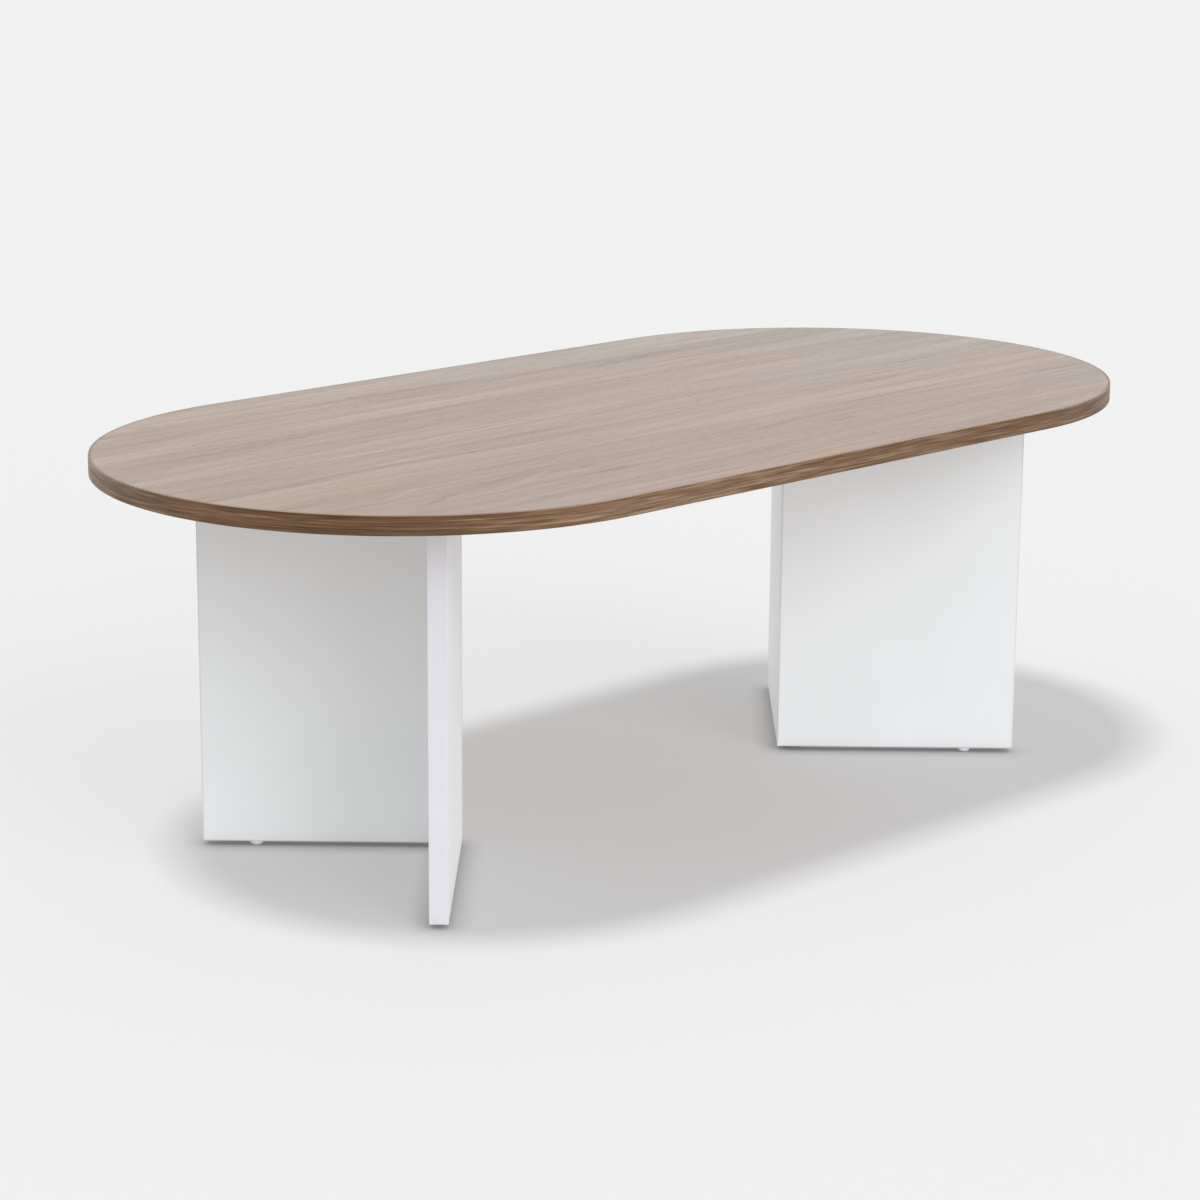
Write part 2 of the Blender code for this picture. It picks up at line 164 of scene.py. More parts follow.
def cleared_tree(owner: Material | bpy.types.World) -> Tree:
    """Turns on the nodes of a material or a world and clears them away.

    Args:
        owner: the material or the world.

    Returns:
        Its empty tree.
    """
    owner.use_nodes = True
    owner.node_tree.nodes.clear()
    return owner.node_tree


def put_in_scene(name: str, data: bpy.types.ID) -> bpy.types.Object:
    """Puts a new object into the scene, at the origin.

    Args:
        name: the object's name.
        data: its mesh, lamp or camera.

    Returns:
        The object.
    """
    made = bpy.data.objects.new(name, data)
    bpy.context.scene.collection.objects.link(made)
    return made


@dataclass(frozen=True)
class Grain:
    """One layer of drawn-out noise: how long and wide its marks are, and how much it counts.

    Where lines_above is given, only the noise above that level marks the surface, as separate thin lines.
    The lean turns the marks away from the grain, in degrees.
    """

    length: float
    width: float
    weight: float
    detail: float = 1.0
    lines_above: float = 0.0
    lean: float = 0.0


@dataclass(frozen=True)
class Vein:
    """One tapered line of the figure, or a short broad one for a knot: its ends, half width and depth.

    A depth below 0 makes a pale line.
    """

    x_from: float
    y_from: float
    x_to: float
    y_to: float
    half_width: float
    depth: float

    def middle(self) -> Vector:
        """The vein's middle, in metres."""
        return Vector((self.x_from + self.x_to, self.y_from + self.y_to, 0)) / 2 * MM

    def turn(self) -> Vector:
        """The vein's turn about X, Y and Z."""
        return Vector((0, 0, math.atan2(self.y_to - self.y_from, self.x_to - self.x_from)))

    def half_sizes(self) -> Vector:
        """Half the vein's length and width, in metres."""
        length = math.hypot(self.x_to - self.x_from, self.y_to - self.y_from)
        return Vector((length / 2 * MM, self.half_width * MM, 1))


@dataclass(frozen=True)
class Finish:
    """A surface: what it is made of and how that was made."""

    label: str
    roughness: float
    ior: float = 1.5
    metallic: float = 0.0

    def material(self) -> Material:
        """Builds the material, with its pattern on a principled shader.

        Returns:
            The new material.
        """
        made = bpy.data.materials.new(self.label)
        tree = cleared_tree(made)
        plain = {"Roughness": self.roughness, "IOR": self.ior, "Metallic": self.metallic}
        shader = add_node(tree, "ShaderNodeBsdfPrincipled", named={**plain, **self.pattern(tree)})
        add_node(tree, "ShaderNodeOutputMaterial", named={"Surface": shader})
        return made

    def pattern(self, tree: Tree) -> dict[str, Node]:
        """Adds the finish's own pattern and gives what feeds the shader's inputs, by name."""
        raise NotImplementedError

    def two_tone(self, tree: Tree, noise: Node, levels: tuple[float, float], codes: tuple[str, str]) -> Node:
        """Passes from the first colour to the second one where the noise rises from level to level."""
        share = add_node(tree, "ShaderNodeMapRange", noise, *levels)
        return add_node(tree, "ShaderNodeMix", share, *(linear(code) for code in codes), data_type="RGBA")


@dataclass(frozen=True)
class PrintedGrain(Finish):
    """A printed wood grain: streaks of several sizes, which pick their colours from a scale of tones."""

    streaks: tuple[Grain, ...] = ()
    line_rise: float = 0.1
    slice_step: float = 5.7
    wander: Grain = Grain(500, 120, 5)
    wander_slice: int = -1

    def stretched_noise(self, tree: Tree, plane: Source, layer: Grain, number: int) -> Node:
        """Draws noise out along the grain.

        Args:
            tree: the material's nodes.
            plane: coordinates with the grain along X, in metres.
            layer: the size of the noise.
            number: which slice of the noise is used, to differ from other layers.

        Returns:
            The noise, about 0.5.
        """
        slice_place = (0, 0, self.slice_step * number)
        turn = (0, 0, math.radians(layer.lean))
        size = (layer.length * MM, layer.width * MM, 1)
        drawn = add_node(tree, "ShaderNodeMapping", plane, slice_place, turn, size, vector_type="TEXTURE")
        fineness = {"Vector": drawn, "Scale": 1.0, "Detail": layer.detail}
        return add_node(tree, "ShaderNodeTexNoise", named=fineness)

    def bend(self, tree: Tree, place: Source) -> Node:
        """Lets the grain wander a little to its sides.

        Args:
            tree: the material's nodes.
            place: coordinates with the grain along X, in metres.

        Returns:
            The coordinates that the grain follows.
        """
        noise = self.stretched_noise(tree, place, self.wander, self.wander_slice)
        reach = self.wander.weight * MM
        sway = add_node(tree, "ShaderNodeMapRange", noise, 0, 1, -reach, reach)
        offset = add_node(tree, "ShaderNodeCombineXYZ", named={"Y": sway})
        return add_node(tree, "ShaderNodeVectorMath", place, offset, operation="ADD")

    def add_streaks(self, tree: Tree, plane: Source, tone: Source) -> Source:
        """Draws the streaks.

        Args:
            tree: the material's nodes.
            plane: coordinates with the grain along X, in metres.
            tone: the tone so far.

        Returns:
            The tone with the streaks.
        """
        for number, layer in enumerate(self.streaks, start=1):
            noise = self.stretched_noise(tree, plane, layer, number)
            start, rise, low = 0.0, 1.0, -layer.weight / 2
            if layer.lines_above:
                start, rise, low = layer.lines_above, self.line_rise, 0.0
            mark = add_node(tree, "ShaderNodeMapRange", noise, start, start + rise, low, low + layer.weight)
            tone = add_node(tree, "ShaderNodeMath", tone, mark, operation="ADD")
        return tone

    def graded(self, tree: Tree, place: Source, span: tuple[float, float], grades: Grades) -> Node:
        """Sets a tone at each of a row of places, with smooth passages between them.

        Args:
            tree: the material's nodes.
            place: the coordinate that the row follows, in metres.
            span: where the row starts and ends, in millimetres.
            grades: places in millimetres and their tones.

        Returns:
            The tone.
        """
        first, last = span
        share = add_node(tree, "ShaderNodeMapRange", place, first * MM, last * MM)
        curve = add_node(tree, "ShaderNodeFloatCurve", named={"Value": share})
        line = curve.mapping.curves[0]
        while len(line.points) < len(grades):
            line.points.new(0.5, 0.5)
        for point, (position, tone) in zip(line.points, grades):
            point.location = ((position - first) / (last - first), tone)
        curve.mapping.update()
        return curve

    def tone_colour(self, tree: Tree, tone: Source, tones: Tones) -> Node:
        """Picks colours from a scale of tones.

        Args:
            tree: the material's nodes.
            tone: the tone, from 0 to 1.
            tones: the scale's places and colours.

        Returns:
            The colour.
        """
        ramp = add_node(tree, "ShaderNodeValToRGB", named={"Fac": tone})
        stops = ramp.color_ramp.elements
        while len(stops) < len(tones):
            stops.new(0.5)
        for stop, (position, code) in zip(stops, tones):
            stop.position = position
            stop.color = linear(code)
        return ramp


# Chipboard faced with printed decor paper under melamine resin, pressed against a satin plate. The print
# gives long bands, thin lines and three soft knots of pinkish walnut brown, and the resin a pale sheen at low
# angles.
@dataclass(frozen=True)
class WalnutMelamine(PrintedGrain):
    """The top's walnut print, with its grain along X."""

    label: str = "walnut_print_melamine"
    roughness: float = 0.28
    roughness_swing: float = 0.04
    ior: float = 1.6
    warm_tones: Tones = ((0.0, "#7C501D"), (0.5, "#A17C5F"), (1.0, "#BB9981"))
    cool_tones: Tones = ((0.0, "#725936"), (0.5, "#98826C"), (1.0, "#B49F8C"))
    patches: Grain = Grain(600, 120, 1.0, 1.5)
    patch_slice: int = 0
    patch_levels: tuple[float, float] = (0.22, 0.78)
    warmth_fall: tuple[float, float, float] = (-0.4, -0.25, 0.0)
    board_width: float = 600
    bands: Grades = (
        (-300, 0.62),
        (-280, 0.58),
        (-258, 0.50),
        (-225, 0.43),
        (-180, 0.43),
        (-145, 0.46),
        (-120, 0.53),
        (-103, 0.66),
        (-78, 0.66),
        (-60, 0.48),
        (-35, 0.47),
        (-8, 0.48),
        (12, 0.50),
        (31, 0.65),
        (50, 0.56),
        (75, 0.52),
        (108, 0.47),
        (124, 0.46),
        (147, 0.65),
        (170, 0.56),
        (190, 0.41),
        (216, 0.40),
        (235, 0.53),
        (254, 0.68),
        (275, 0.60),
        (300, 0.50),
    )
    streaks: tuple[Grain, ...] = (
        Grain(900, 60, 0.4),
        Grain(480, 24, 0.48, lean=2),
        Grain(220, 12, 0.5, lean=4),
        Grain(200, 7, 0.56, 2.0, lean=2),
        Grain(240, 4, 0.62, 2.0),
        Grain(120, 2, 0.55, 2.0),
        Grain(360, 5, -0.3, lines_above=0.64, lean=1),
        Grain(280, 4, 0.22, lines_above=0.66),
        Grain(60, 1, 0.4),
        Grain(240, 1.8, -0.4, lines_above=0.62),
    )
    veins: tuple[Vein, ...] = (
        Vein(-560, 194, -140, 200, 7, 0.42),
        Vein(-210, 199, -50, 188, 7, 0.36),
        Vein(90, 188, 330, 221, 8, 0.26),
        Vein(-500, 205, -385, 207, 6, 0.26),
        Vein(-515, 214, -465, 219, 7, -0.34),
        Vein(-390, 226, 170, 218, 7, 0.38),
        Vein(-360, 213, -140, 208, 5, -0.3),
        Vein(-440, 130, 340, 117, 5, 0.26),
        Vein(-430, 62, -300, 66, 12, 0.2),
        Vein(-560, 11, -460, 10, 5, 0.2),
        Vein(-490, -2, -170, -8, 5, 0.3),
        Vein(-450, 5, -290, 4, 4, -0.42),
        Vein(-290, 8, 110, 18, 6, 0.32),
        Vein(-170, -1, -60, 1, 5, -0.26),
        Vein(-560, -45, -460, -43, 5, -0.2),
        Vein(-450, -52, -90, -65, 6, 0.38),
        Vein(-420, -45, -260, -45, 5, -0.26),
        Vein(-310, -39, -210, -40, 6, 0.24),
        Vein(90, -41, 320, -36, 6, 0.16),
        Vein(240, -61, 380, -61, 6, 0.32),
        Vein(290, -44, 410, -45, 5, -0.3),
        Vein(310, -7, 540, -7, 5, 0.26),
        Vein(310, 6, 460, 6, 5, -0.2),
        Vein(-500, -223, -380, -172, 6, 0.36),
        Vein(-420, -188, -225, -146, 6, 0.28),
        Vein(-365, -202, -240, -156, 5, -0.36),
        Vein(-485, -169, -405, -146, 5, -0.36),
        Vein(-45, -167, 115, -141, 6, -0.26),
        Vein(-5, -171, 75, -153, 5, 0.3),
        Vein(400, -147, 575, -147, 8, 0.14),
        Vein(-270, -205, -180, -199, 18, 0.28),
        Vein(-258, -181, -215, -176, 7, 0.34),
        Vein(80, -184, 150, -182, 14, 0.28),
        Vein(-455, 244, -405, 244, 7, 0.3),
    )
    pores: Grain = Grain(14, 0.9, 0.2)
    pore_slice: int = -2
    pore_levels: tuple[float, float] = (0.57, 0.67)
    pore_sheen_levels: tuple[float, float] = (0.3, 0.7)
    pore_relief: float = 0.4
    pore_depth: float = 0.03

    def pattern(self, tree: Tree) -> dict[str, Node]:
        """Adds bands, streaks, the figure's lines and knots, and pores.

        Args:
            tree: the material's nodes.

        Returns:
            What feeds the shader's inputs, by name.
        """
        bent = self.bend(tree, add_node(tree, "ShaderNodeTexCoord").outputs["Object"])
        across = add_node(tree, "ShaderNodeSeparateXYZ", bent).outputs["Y"]
        half = self.board_width / 2
        tone = self.graded(tree, across, (-half, half), self.bands)
        tone = self.add_veins(tree, bent, self.add_streaks(tree, bent, tone))
        warm = self.tone_colour(tree, tone, self.warm_tones)
        cool = self.tone_colour(tree, tone, self.cool_tones)
        share = self.warm_share(tree, bent)
        colour = add_node(tree, "ShaderNodeMix", share, cool, warm, data_type="RGBA")
        return self.add_pores(tree, bent, colour)

    def warm_share(self, tree: Tree, bent: Source) -> Node:
        """Lays warmer and cooler patches over the board, which is warmer towards its near left.

        Args:
            tree: the material's nodes.
            bent: the coordinates that the grain follows.

        Returns:
            The share of the warm tones, from 0 to 1.
        """
        patch = self.stretched_noise(tree, bent, self.patches, self.patch_slice)
        fall = add_node(tree, "ShaderNodeVectorMath", bent, self.warmth_fall, operation="DOT_PRODUCT")
        warmth = add_node(tree, "ShaderNodeMath", patch, fall, operation="ADD")
        return add_node(tree, "ShaderNodeMapRange", warmth, *self.patch_levels)

    def add_veins(self, tree: Tree, bent: Source, tone: Source) -> Source:
        """Draws the figure's lines and knots.

        Args:
            tree: the material's nodes.
            bent: the coordinates that the grain follows.
            tone: the tone so far.

        Returns:
            The tone with the figure.
        """
        for vein in self.veins:
            frame = (vein.middle(), vein.turn(), vein.half_sizes())
            local = add_node(tree, "ShaderNodeMapping", bent, *frame, vector_type="TEXTURE")
            flat = add_node(tree, "ShaderNodeVectorMath", local, LEVEL, operation="MULTIPLY")
            far = add_node(tree, "ShaderNodeVectorMath", flat, operation="LENGTH")
            fade = (0, 1, -vein.depth, 0)
            mark = add_node(tree, "ShaderNodeMapRange", far, *fade, interpolation_type="SMOOTHSTEP")
            tone = add_node(tree, "ShaderNodeMath", tone, mark, operation="ADD")
        return tone

    def add_pores(self, tree: Tree, bent: Source, colour: Source) -> dict[str, Node]:
        """Presses short pores into the print, darker and rougher. Drawn wider than real ones, to show.

        Args:
            tree: the material's nodes.
            bent: the coordinates that the grain follows.
            colour: the print without pores.

        Returns:
            What feeds the shader's inputs, by name.
        """
        noise = self.stretched_noise(tree, bent, self.pores, self.pore_slice)
        pore = add_node(tree, "ShaderNodeMapRange", noise, *self.pore_levels)
        shade = add_node(tree, "ShaderNodeMapRange", pore, 0, 1, 1, 1 - self.pores.weight)
        sheen = (self.roughness - self.roughness_swing, self.roughness + self.roughness_swing)
        relief = {"Height": pore, "Strength": self.pore_relief, "Distance": self.pore_depth * MM}
        return {
            "Base Color": add_node(tree, "ShaderNodeVectorMath", colour, shade, operation="SCALE"),
            "Roughness": add_node(tree, "ShaderNodeMapRange", noise, *self.pore_sheen_levels, *sheen),
            "Normal": add_node(tree, "ShaderNodeBump", named=relief, invert=True),
        }


# ABS strip printed with walnut streaks, glued on and trimmed with a rounding cutter. The streaks run along
# the rim, finer and darker than on the face. The cutter takes the print off the upper arris, where the paler
# plastic of the strip shows; that pale line is drawn paler still, as a painted highlight on the upper arris.
@dataclass(frozen=True)
class WalnutEdge(PrintedGrain):
    """The top's edge band, with its streaks along the rim."""

    label: str = "walnut_print_abs"
    roughness: float = 0.42
    tones: Tones = (
        (0.0, "#3E2206"),
        (0.35, "#644219"),
        (0.5, "#745333"),
        (0.65, "#826447"),
        (1.0, "#A68A72"),
    )
    rim_length: float = 3085
    # Tones along the rim: the print's lighter and darker lengths plus painted shade, darkest at the rim's far
    # right end, where the travel starts and ends.
    stretches_and_shade: Grades = (
        (0, 0.25),
        (200, 0.34),
        (1300, 0.46),
        (1550, 0.41),
        (1650, 0.30),
        (1750, 0.26),
        (1850, 0.36),
        (1950, 0.53),
        (2050, 0.58),
        (2150, 0.56),
        (2250, 0.54),
        (2400, 0.47),
        (2600, 0.42),
        (2700, 0.31),
        (2900, 0.27),
        (3085, 0.25),
    )
    streaks: tuple[Grain, ...] = (Grain(130, 2.4, 0.7, 2.0), Grain(60, 1.4, 1.2, 2.0), Grain(36, 1.0, 0.9))
    wander: Grain = Grain(160, 30, 1.2)
    upper_edge: float = 410
    bare_and_highlight_from: float = 0.5
    bare_and_highlight_to: float = 0.2
    # The upper arris is paler: partly the strip's plastic where the print is cut off, partly a painted
    # highlight.
    arris_plastic_and_highlight_tone: str = "#9C8069"
    dark_and_pale: tuple[float, float] = (0.2, 0.8)
    dark_and_pale_roughness: tuple[float, float] = (0.48, 0.38)
    streak_relief: float = 0.3
    streak_depth: float = 0.03

    def pattern(self, tree: Tree) -> dict[str, Node]:
        """Adds lighter and darker lengths of print with painted shade in them, streaks along the rim, and the
        upper arris, paler where the print is cut off, with a painted highlight.

        Args:
            tree: the material's nodes.

        Returns:
            What feeds the shader's inputs, by name.
        """
        rim = add_node(tree, "ShaderNodeAttribute", attribute_name="along_rim", attribute_type="GEOMETRY")
        travel = rim.outputs["Fac"]
        place = add_node(tree, "ShaderNodeTexCoord").outputs["Object"]
        height = add_node(tree, "ShaderNodeSeparateXYZ", place).outputs["Z"]
        flat = add_node(tree, "ShaderNodeCombineXYZ", travel, height)
        tone = self.graded(tree, travel, (0, self.rim_length), self.stretches_and_shade)
        tone = self.add_streaks(tree, self.bend(tree, flat), tone)
        printed = self.tone_colour(tree, tone, self.tones)
        # Painted highlight: the upper arris passes to the pale arris tone, partly plastic bared by the cutter.
        bare_and_highlight_span = ((self.upper_edge - below) * MM for below in (self.bare_and_highlight_from, self.bare_and_highlight_to))
        bare_and_highlight_share = add_node(tree, "ShaderNodeMapRange", height, *bare_and_highlight_span)
        plastic_and_highlight = linear(self.arris_plastic_and_highlight_tone)
        sheen = (*self.dark_and_pale, *self.dark_and_pale_roughness)
        relief = {"Height": tone, "Strength": self.streak_relief, "Distance": self.streak_depth * MM}
        return {
            "Base Color": add_node(tree, "ShaderNodeMix", bare_and_highlight_share, printed, plastic_and_highlight, data_type="RGBA"),
            "Roughness": add_node(tree, "ShaderNodeMapRange", tone, *sheen),
            "Normal": add_node(tree, "ShaderNodeBump", named=relief),
        }


# Pressed, moulded, cast or plated surfaces of one colour, which differ in tint, sheen and grit. Real grit is
# mostly too fine to show, so it is drawn coarser.
@dataclass(frozen=True)
class PlainSurface(Finish):
    """A surface of one colour with a fine grit in its bump and its sheen, and faint clouds in its tint."""

    colour: str = "#FFFFFF"
    cloud_colour: str = "#FFFFFF"
    cloud_size: float = 60
    cloud_detail: float = 2.0
    cloud_levels: tuple[float, float] = (0.35, 0.65)
    grit_size: float = 0.8
    grit_detail: float = 1.0
    grit_levels: tuple[float, float] = (0.3, 0.7)
    grit_relief: float = 0.5
    grit_depth: float = 0.01
    sheen_swing: float = 0.05

    def pattern(self, tree: Tree) -> dict[str, Node]:
        """Adds the clouds and the grit.

        Args:
            tree: the material's nodes.

        Returns:
            What feeds the shader's inputs, by name.
        """
        place = add_node(tree, "ShaderNodeTexCoord").outputs["Object"]
        noises = []
        for size, detail in ((self.cloud_size, self.cloud_detail), (self.grit_size, self.grit_detail)):
            fineness = {"Vector": place, "Scale": 1 / (size * MM), "Detail": detail}
            noises.append(add_node(tree, "ShaderNodeTexNoise", named=fineness))
        clouds, grit = noises
        sheen = (self.roughness - self.sheen_swing, self.roughness + self.sheen_swing)
        relief = {"Height": grit, "Strength": self.grit_relief, "Distance": self.grit_depth * MM}
        return {
            "Base Color": self.two_tone(tree, clouds, self.cloud_levels, (self.colour, self.cloud_colour)),
            "Roughness": add_node(tree, "ShaderNodeMapRange", grit, *self.grit_levels, *sheen),
            "Normal": add_node(tree, "ShaderNodeBump", named=relief),
        }


# Turned beech, pressed with flutes. Pale pinkish brown with short dark flecks along the grain.
@dataclass(frozen=True)
class Beech(Finish):
    """Dowel wood, with its grain along the dowel."""

    label: str = "turned_beech"
    roughness: float = 0.62
    colour: str = "#D3AE83"
    fleck_colour: str = "#A87B50"
    fleck_size: tuple[float, float, float] = (0.5, 0.5, 3)
    fleck_detail: float = 2.0
    fleck_levels: tuple[float, float] = (0.5, 0.75)
    fleck_relief: float = 0.4
    fleck_depth: float = 0.03

    def pattern(self, tree: Tree) -> dict[str, Node]:
        """Adds the flecks, on the dowel's own coordinates.

        Args:
            tree: the material's nodes.

        Returns:
            What feeds the shader's inputs, by name.
        """
        own = add_node(tree, "ShaderNodeAttribute", attribute_name="own_place", attribute_type="GEOMETRY")
        size = {"Vector": own.outputs["Vector"], "Scale": Vector(self.fleck_size) * MM}
        drawn = add_node(tree, "ShaderNodeMapping", named=size, vector_type="TEXTURE")
        fineness = {"Vector": drawn, "Scale": 1.0, "Detail": self.fleck_detail}
        flecks = add_node(tree, "ShaderNodeTexNoise", named=fineness)
        relief = {"Height": flecks, "Strength": self.fleck_relief, "Distance": self.fleck_depth * MM}
        return {
            "Base Color": self.two_tone(tree, flecks, self.fleck_levels, (self.colour, self.fleck_colour)),
            "Normal": add_node(tree, "ShaderNodeBump", named=relief),
        }


# White melamine is the same board with plain paper: a neutral white with a fine pearl in its satin sheen.
WHITE_MELAMINE = PlainSurface(
    "white_melamine_pearl",
    0.5,
    colour="#F2F4F5",
    cloud_colour="#EFF1F2",
    cloud_size=180,
    grit_size=1.2,
    grit_depth=0.012,
)
# White ABS strip, extruded and buffed: smoother than the boards, a little greyer and tinged with lilac.
WHITE_ABS = PlainSurface(
    "white_abs_strip",
    0.42,
    colour="#E6E5EB",
    cloud_colour="#E3E2E8",
    cloud_size=90,
    grit_size=0.9,
    grit_depth=0.006,
)
# Die-cast zinc, tumbled: dull grey metal with a grainy skin.
CAST_ZINC = PlainSurface(
    "die_cast_zinc",
    0.46,
    metallic=1.0,
    colour="#B4B6B8",
    cloud_colour="#A3A5A8",
    cloud_size=5,
    grit_size=0.5,
    grit_depth=0.02,
    sheen_swing=0.1,
)
# Zinc-plated steel: brighter and smoother than the casting.
PLATED_STEEL = PlainSurface(
    "zinc_plated_steel",
    0.3,
    metallic=1.0,
    colour="#C9CBCD",
    cloud_colour="#BFC0C0",
    cloud_size=4,
    grit_size=0.3,
    grit_depth=0.006,
)
# Moulded polyethylene: waxy white, evenly dull.
POLYETHYLENE = PlainSurface(
    "moulded_polyethylene",
    0.48,
    colour="#F2F2F2",
    cloud_colour="#EEEEEE",
    cloud_size=8,
    grit_size=0.5,
    grit_depth=0.01,
)


def drawn_line(name: str, points: Outline, closed: bool) -> bpy.types.Mesh:
    """Draws a line through points in the plane.

    Args:
        name: the drawing's name.
        points: the points in millimetres.
        closed: whether the last point joins the first.

    Returns:
        A mesh with only edges.
    """
    count = len(points)
    edges = [(i, (i + 1) % count) for i in range(count if closed else count - 1)]
    mesh = bpy.data.meshes.new(name)
    mesh.from_pydata([(x * MM, y * MM, 0) for x, y in points], edges, [])
    return mesh


class Recipe:
    """A tree of geometry nodes that makes one piece from a drawn section and named sizes."""

    def __init__(self, name: str, finish: Finish, sizes: dict[str, Any]) -> None:
        """Starts the tree, with an input for the finish and for each size.

        Args:
            name: the piece's name.
            finish: the piece's finish.
            sizes: the value of each named input.
        """
        self.name = name
        self.values = {**sizes, "Finish": finish.material()}
        self.tree = bpy.data.node_groups.new(name, "GeometryNodeTree")
        for way in ("INPUT", "OUTPUT"):
            self.tree.interface.new_socket("Geometry", in_out=way, socket_type="NodeSocketGeometry")
        for label, value in self.values.items():
            self.tree.interface.new_socket(label, in_out="INPUT", socket_type=INPUT_KINDS[type(value)])
        self.inputs = self.add("NodeGroupInput").outputs

    def add(self, kind: str, *values: Any, **settings: Any) -> Node:
        """Adds one node to the recipe's tree."""
        return add_node(self.tree, kind, *values, **settings)

    def swept(self, path: Source) -> Node:
        """Sweeps the drawn section along a path."""
        section = self.add("GeometryNodeMeshToCurve", self.inputs["Geometry"])
        return self.add("GeometryNodeCurveToMesh", named={"Curve": path, "Profile Curve": section})

    def shaded(self, mesh: Source, crease: float) -> Node:
        """Shades a mesh smooth, apart from its edges.

        Args:
            mesh: the mesh.
            crease: the angle in degrees from which an edge stays crisp.

        Returns:
            The shaded mesh.
        """
        smooth = self.add("GeometryNodeSetShadeSmooth", mesh, domain="FACE")
        angle = self.add("GeometryNodeInputMeshEdgeAngle")
        sharp = self.add("ShaderNodeMath", angle, math.radians(crease), operation="GREATER_THAN")
        edges = {"Geometry": smooth, "Selection": sharp, "Shade Smooth": False}
        return self.add("GeometryNodeSetShadeSmooth", named=edges, domain="EDGE")

    def follow(self, section: bpy.types.Mesh, geometry: Source) -> Piece:
        """Ends the tree, runs it on the drawn section and keeps the result as a plain mesh.

        Args:
            section: the drawn section.
            geometry: what the tree has made.

        Returns:
            The piece, at the origin, with its place in its mesh.
        """
        real = self.add("GeometryNodeRealizeInstances", geometry)
        dress = {"Geometry": real, "Material": self.inputs["Finish"]}
        dressed = self.add("GeometryNodeSetMaterial", named=dress)
        self.add("NodeGroupOutput", named={"Geometry": dressed})
        source = put_in_scene(f"{self.name}_drawing", section)
        modifier = source.modifiers.new("recipe", "NODES")
        modifier.node_group = self.tree
        for item in self.tree.interface.items_tree:
            if item.in_out == "INPUT" and item.name in self.values:
                modifier[item.identifier] = self.values[item.name]
        graph = bpy.context.evaluated_depsgraph_get()
        mesh = bpy.data.meshes.new_from_object(source.evaluated_get(graph), depsgraph=graph)
        source.modifiers.remove(modifier)
        bpy.data.objects.remove(source)
        mesh.name = self.name
        return put_in_scene(self.name, mesh)


def adopt(piece: Piece, nodes: list[str]) -> None:
    """Puts a finished piece on the table's body, in place of its solids.

    Args:
        piece: the finished piece.
        nodes: the solids that it stands for.
    """
    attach(piece, BODY)
    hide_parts(*nodes)


def dress_solid(node: Piece, material: Material) -> Piece:
    """Gives a solid that stays in view its finish.

    Args:
        node: the solid's object.
        material: its finish.

    Returns:
        The solid's object.
    """
    node.data.materials.clear()
    node.data.materials.append(material)
    return node


def arc(
    middle: tuple[float, float], radii: tuple[float, float], start: float, turn: float, steps: int
) -> Outline:
    """Draws a part of a circle or of an upright ellipse.

    Args:
        middle: its middle in millimetres.
        radii: its radii to the side and upwards.
        start: the angle of its first point in degrees.
        turn: the angle from its first point to its last one.
        steps: how many straight steps it has.

    Returns:
        Its points in millimetres.
    """
    angles = [math.radians(start + turn * step / steps) for step in range(steps + 1)]
    return [(middle[0] + radii[0] * math.cos(a), middle[1] + radii[1] * math.sin(a)) for a in angles]


def rod_outline(radius: float, top: float, foot: float, chamfer: float) -> Outline:
    """Draws a rod that is broken at both ends, for turning.

    Args:
        radius: the rod's radius in millimetres, as all the sizes.
        top: the height of its upper end.
        foot: the height of its lower end.
        chamfer: how far the ends are broken.

    Returns:
        Radius and height of each point, from the upper pole to the lower one.
    """
    small = radius - chamfer
    side = [(radius, top - chamfer), (radius, foot + chamfer)]
    return [(0, top), (small, top), *side, (small, foot), (0, foot)]


def heading(degrees: float) -> Vector:
    """The level way at an angle from +X."""
    angle = math.radians(degrees)
    return Vector((math.cos(angle), math.sin(angle), 0))


@dataclass(frozen=True)
class Place:
    """Where a fitting sits: its solid's name, its origin in metres, and where its axis and its side point."""

    node: str
    origin: Vector
    axis: Vector
    side: Vector

    def turn(self) -> Vector:
        """The turn about X, Y and Z that takes +Z to the axis and +X to the side."""
        square = Matrix((self.side, self.axis.cross(self.side), self.axis)).transposed()
        return Vector(square.to_euler())


def marked_places(name: str, places: list[Place]) -> Piece:
    """Marks the places of one kind of fitting by points that carry their turns.

    Args:
        name: the marks' name.
        places: the places.

    Returns:
        The marks, to be removed once the fittings are made.
    """
    mesh = bpy.data.meshes.new(name)
    mesh.from_pydata([place.origin for place in places], [], [])
    turns = mesh.attributes.new("turn", "FLOAT_VECTOR", "POINT")
    for point, place in zip(turns.data, places):
        point.vector = place.turn()
    return put_in_scene(name, mesh)


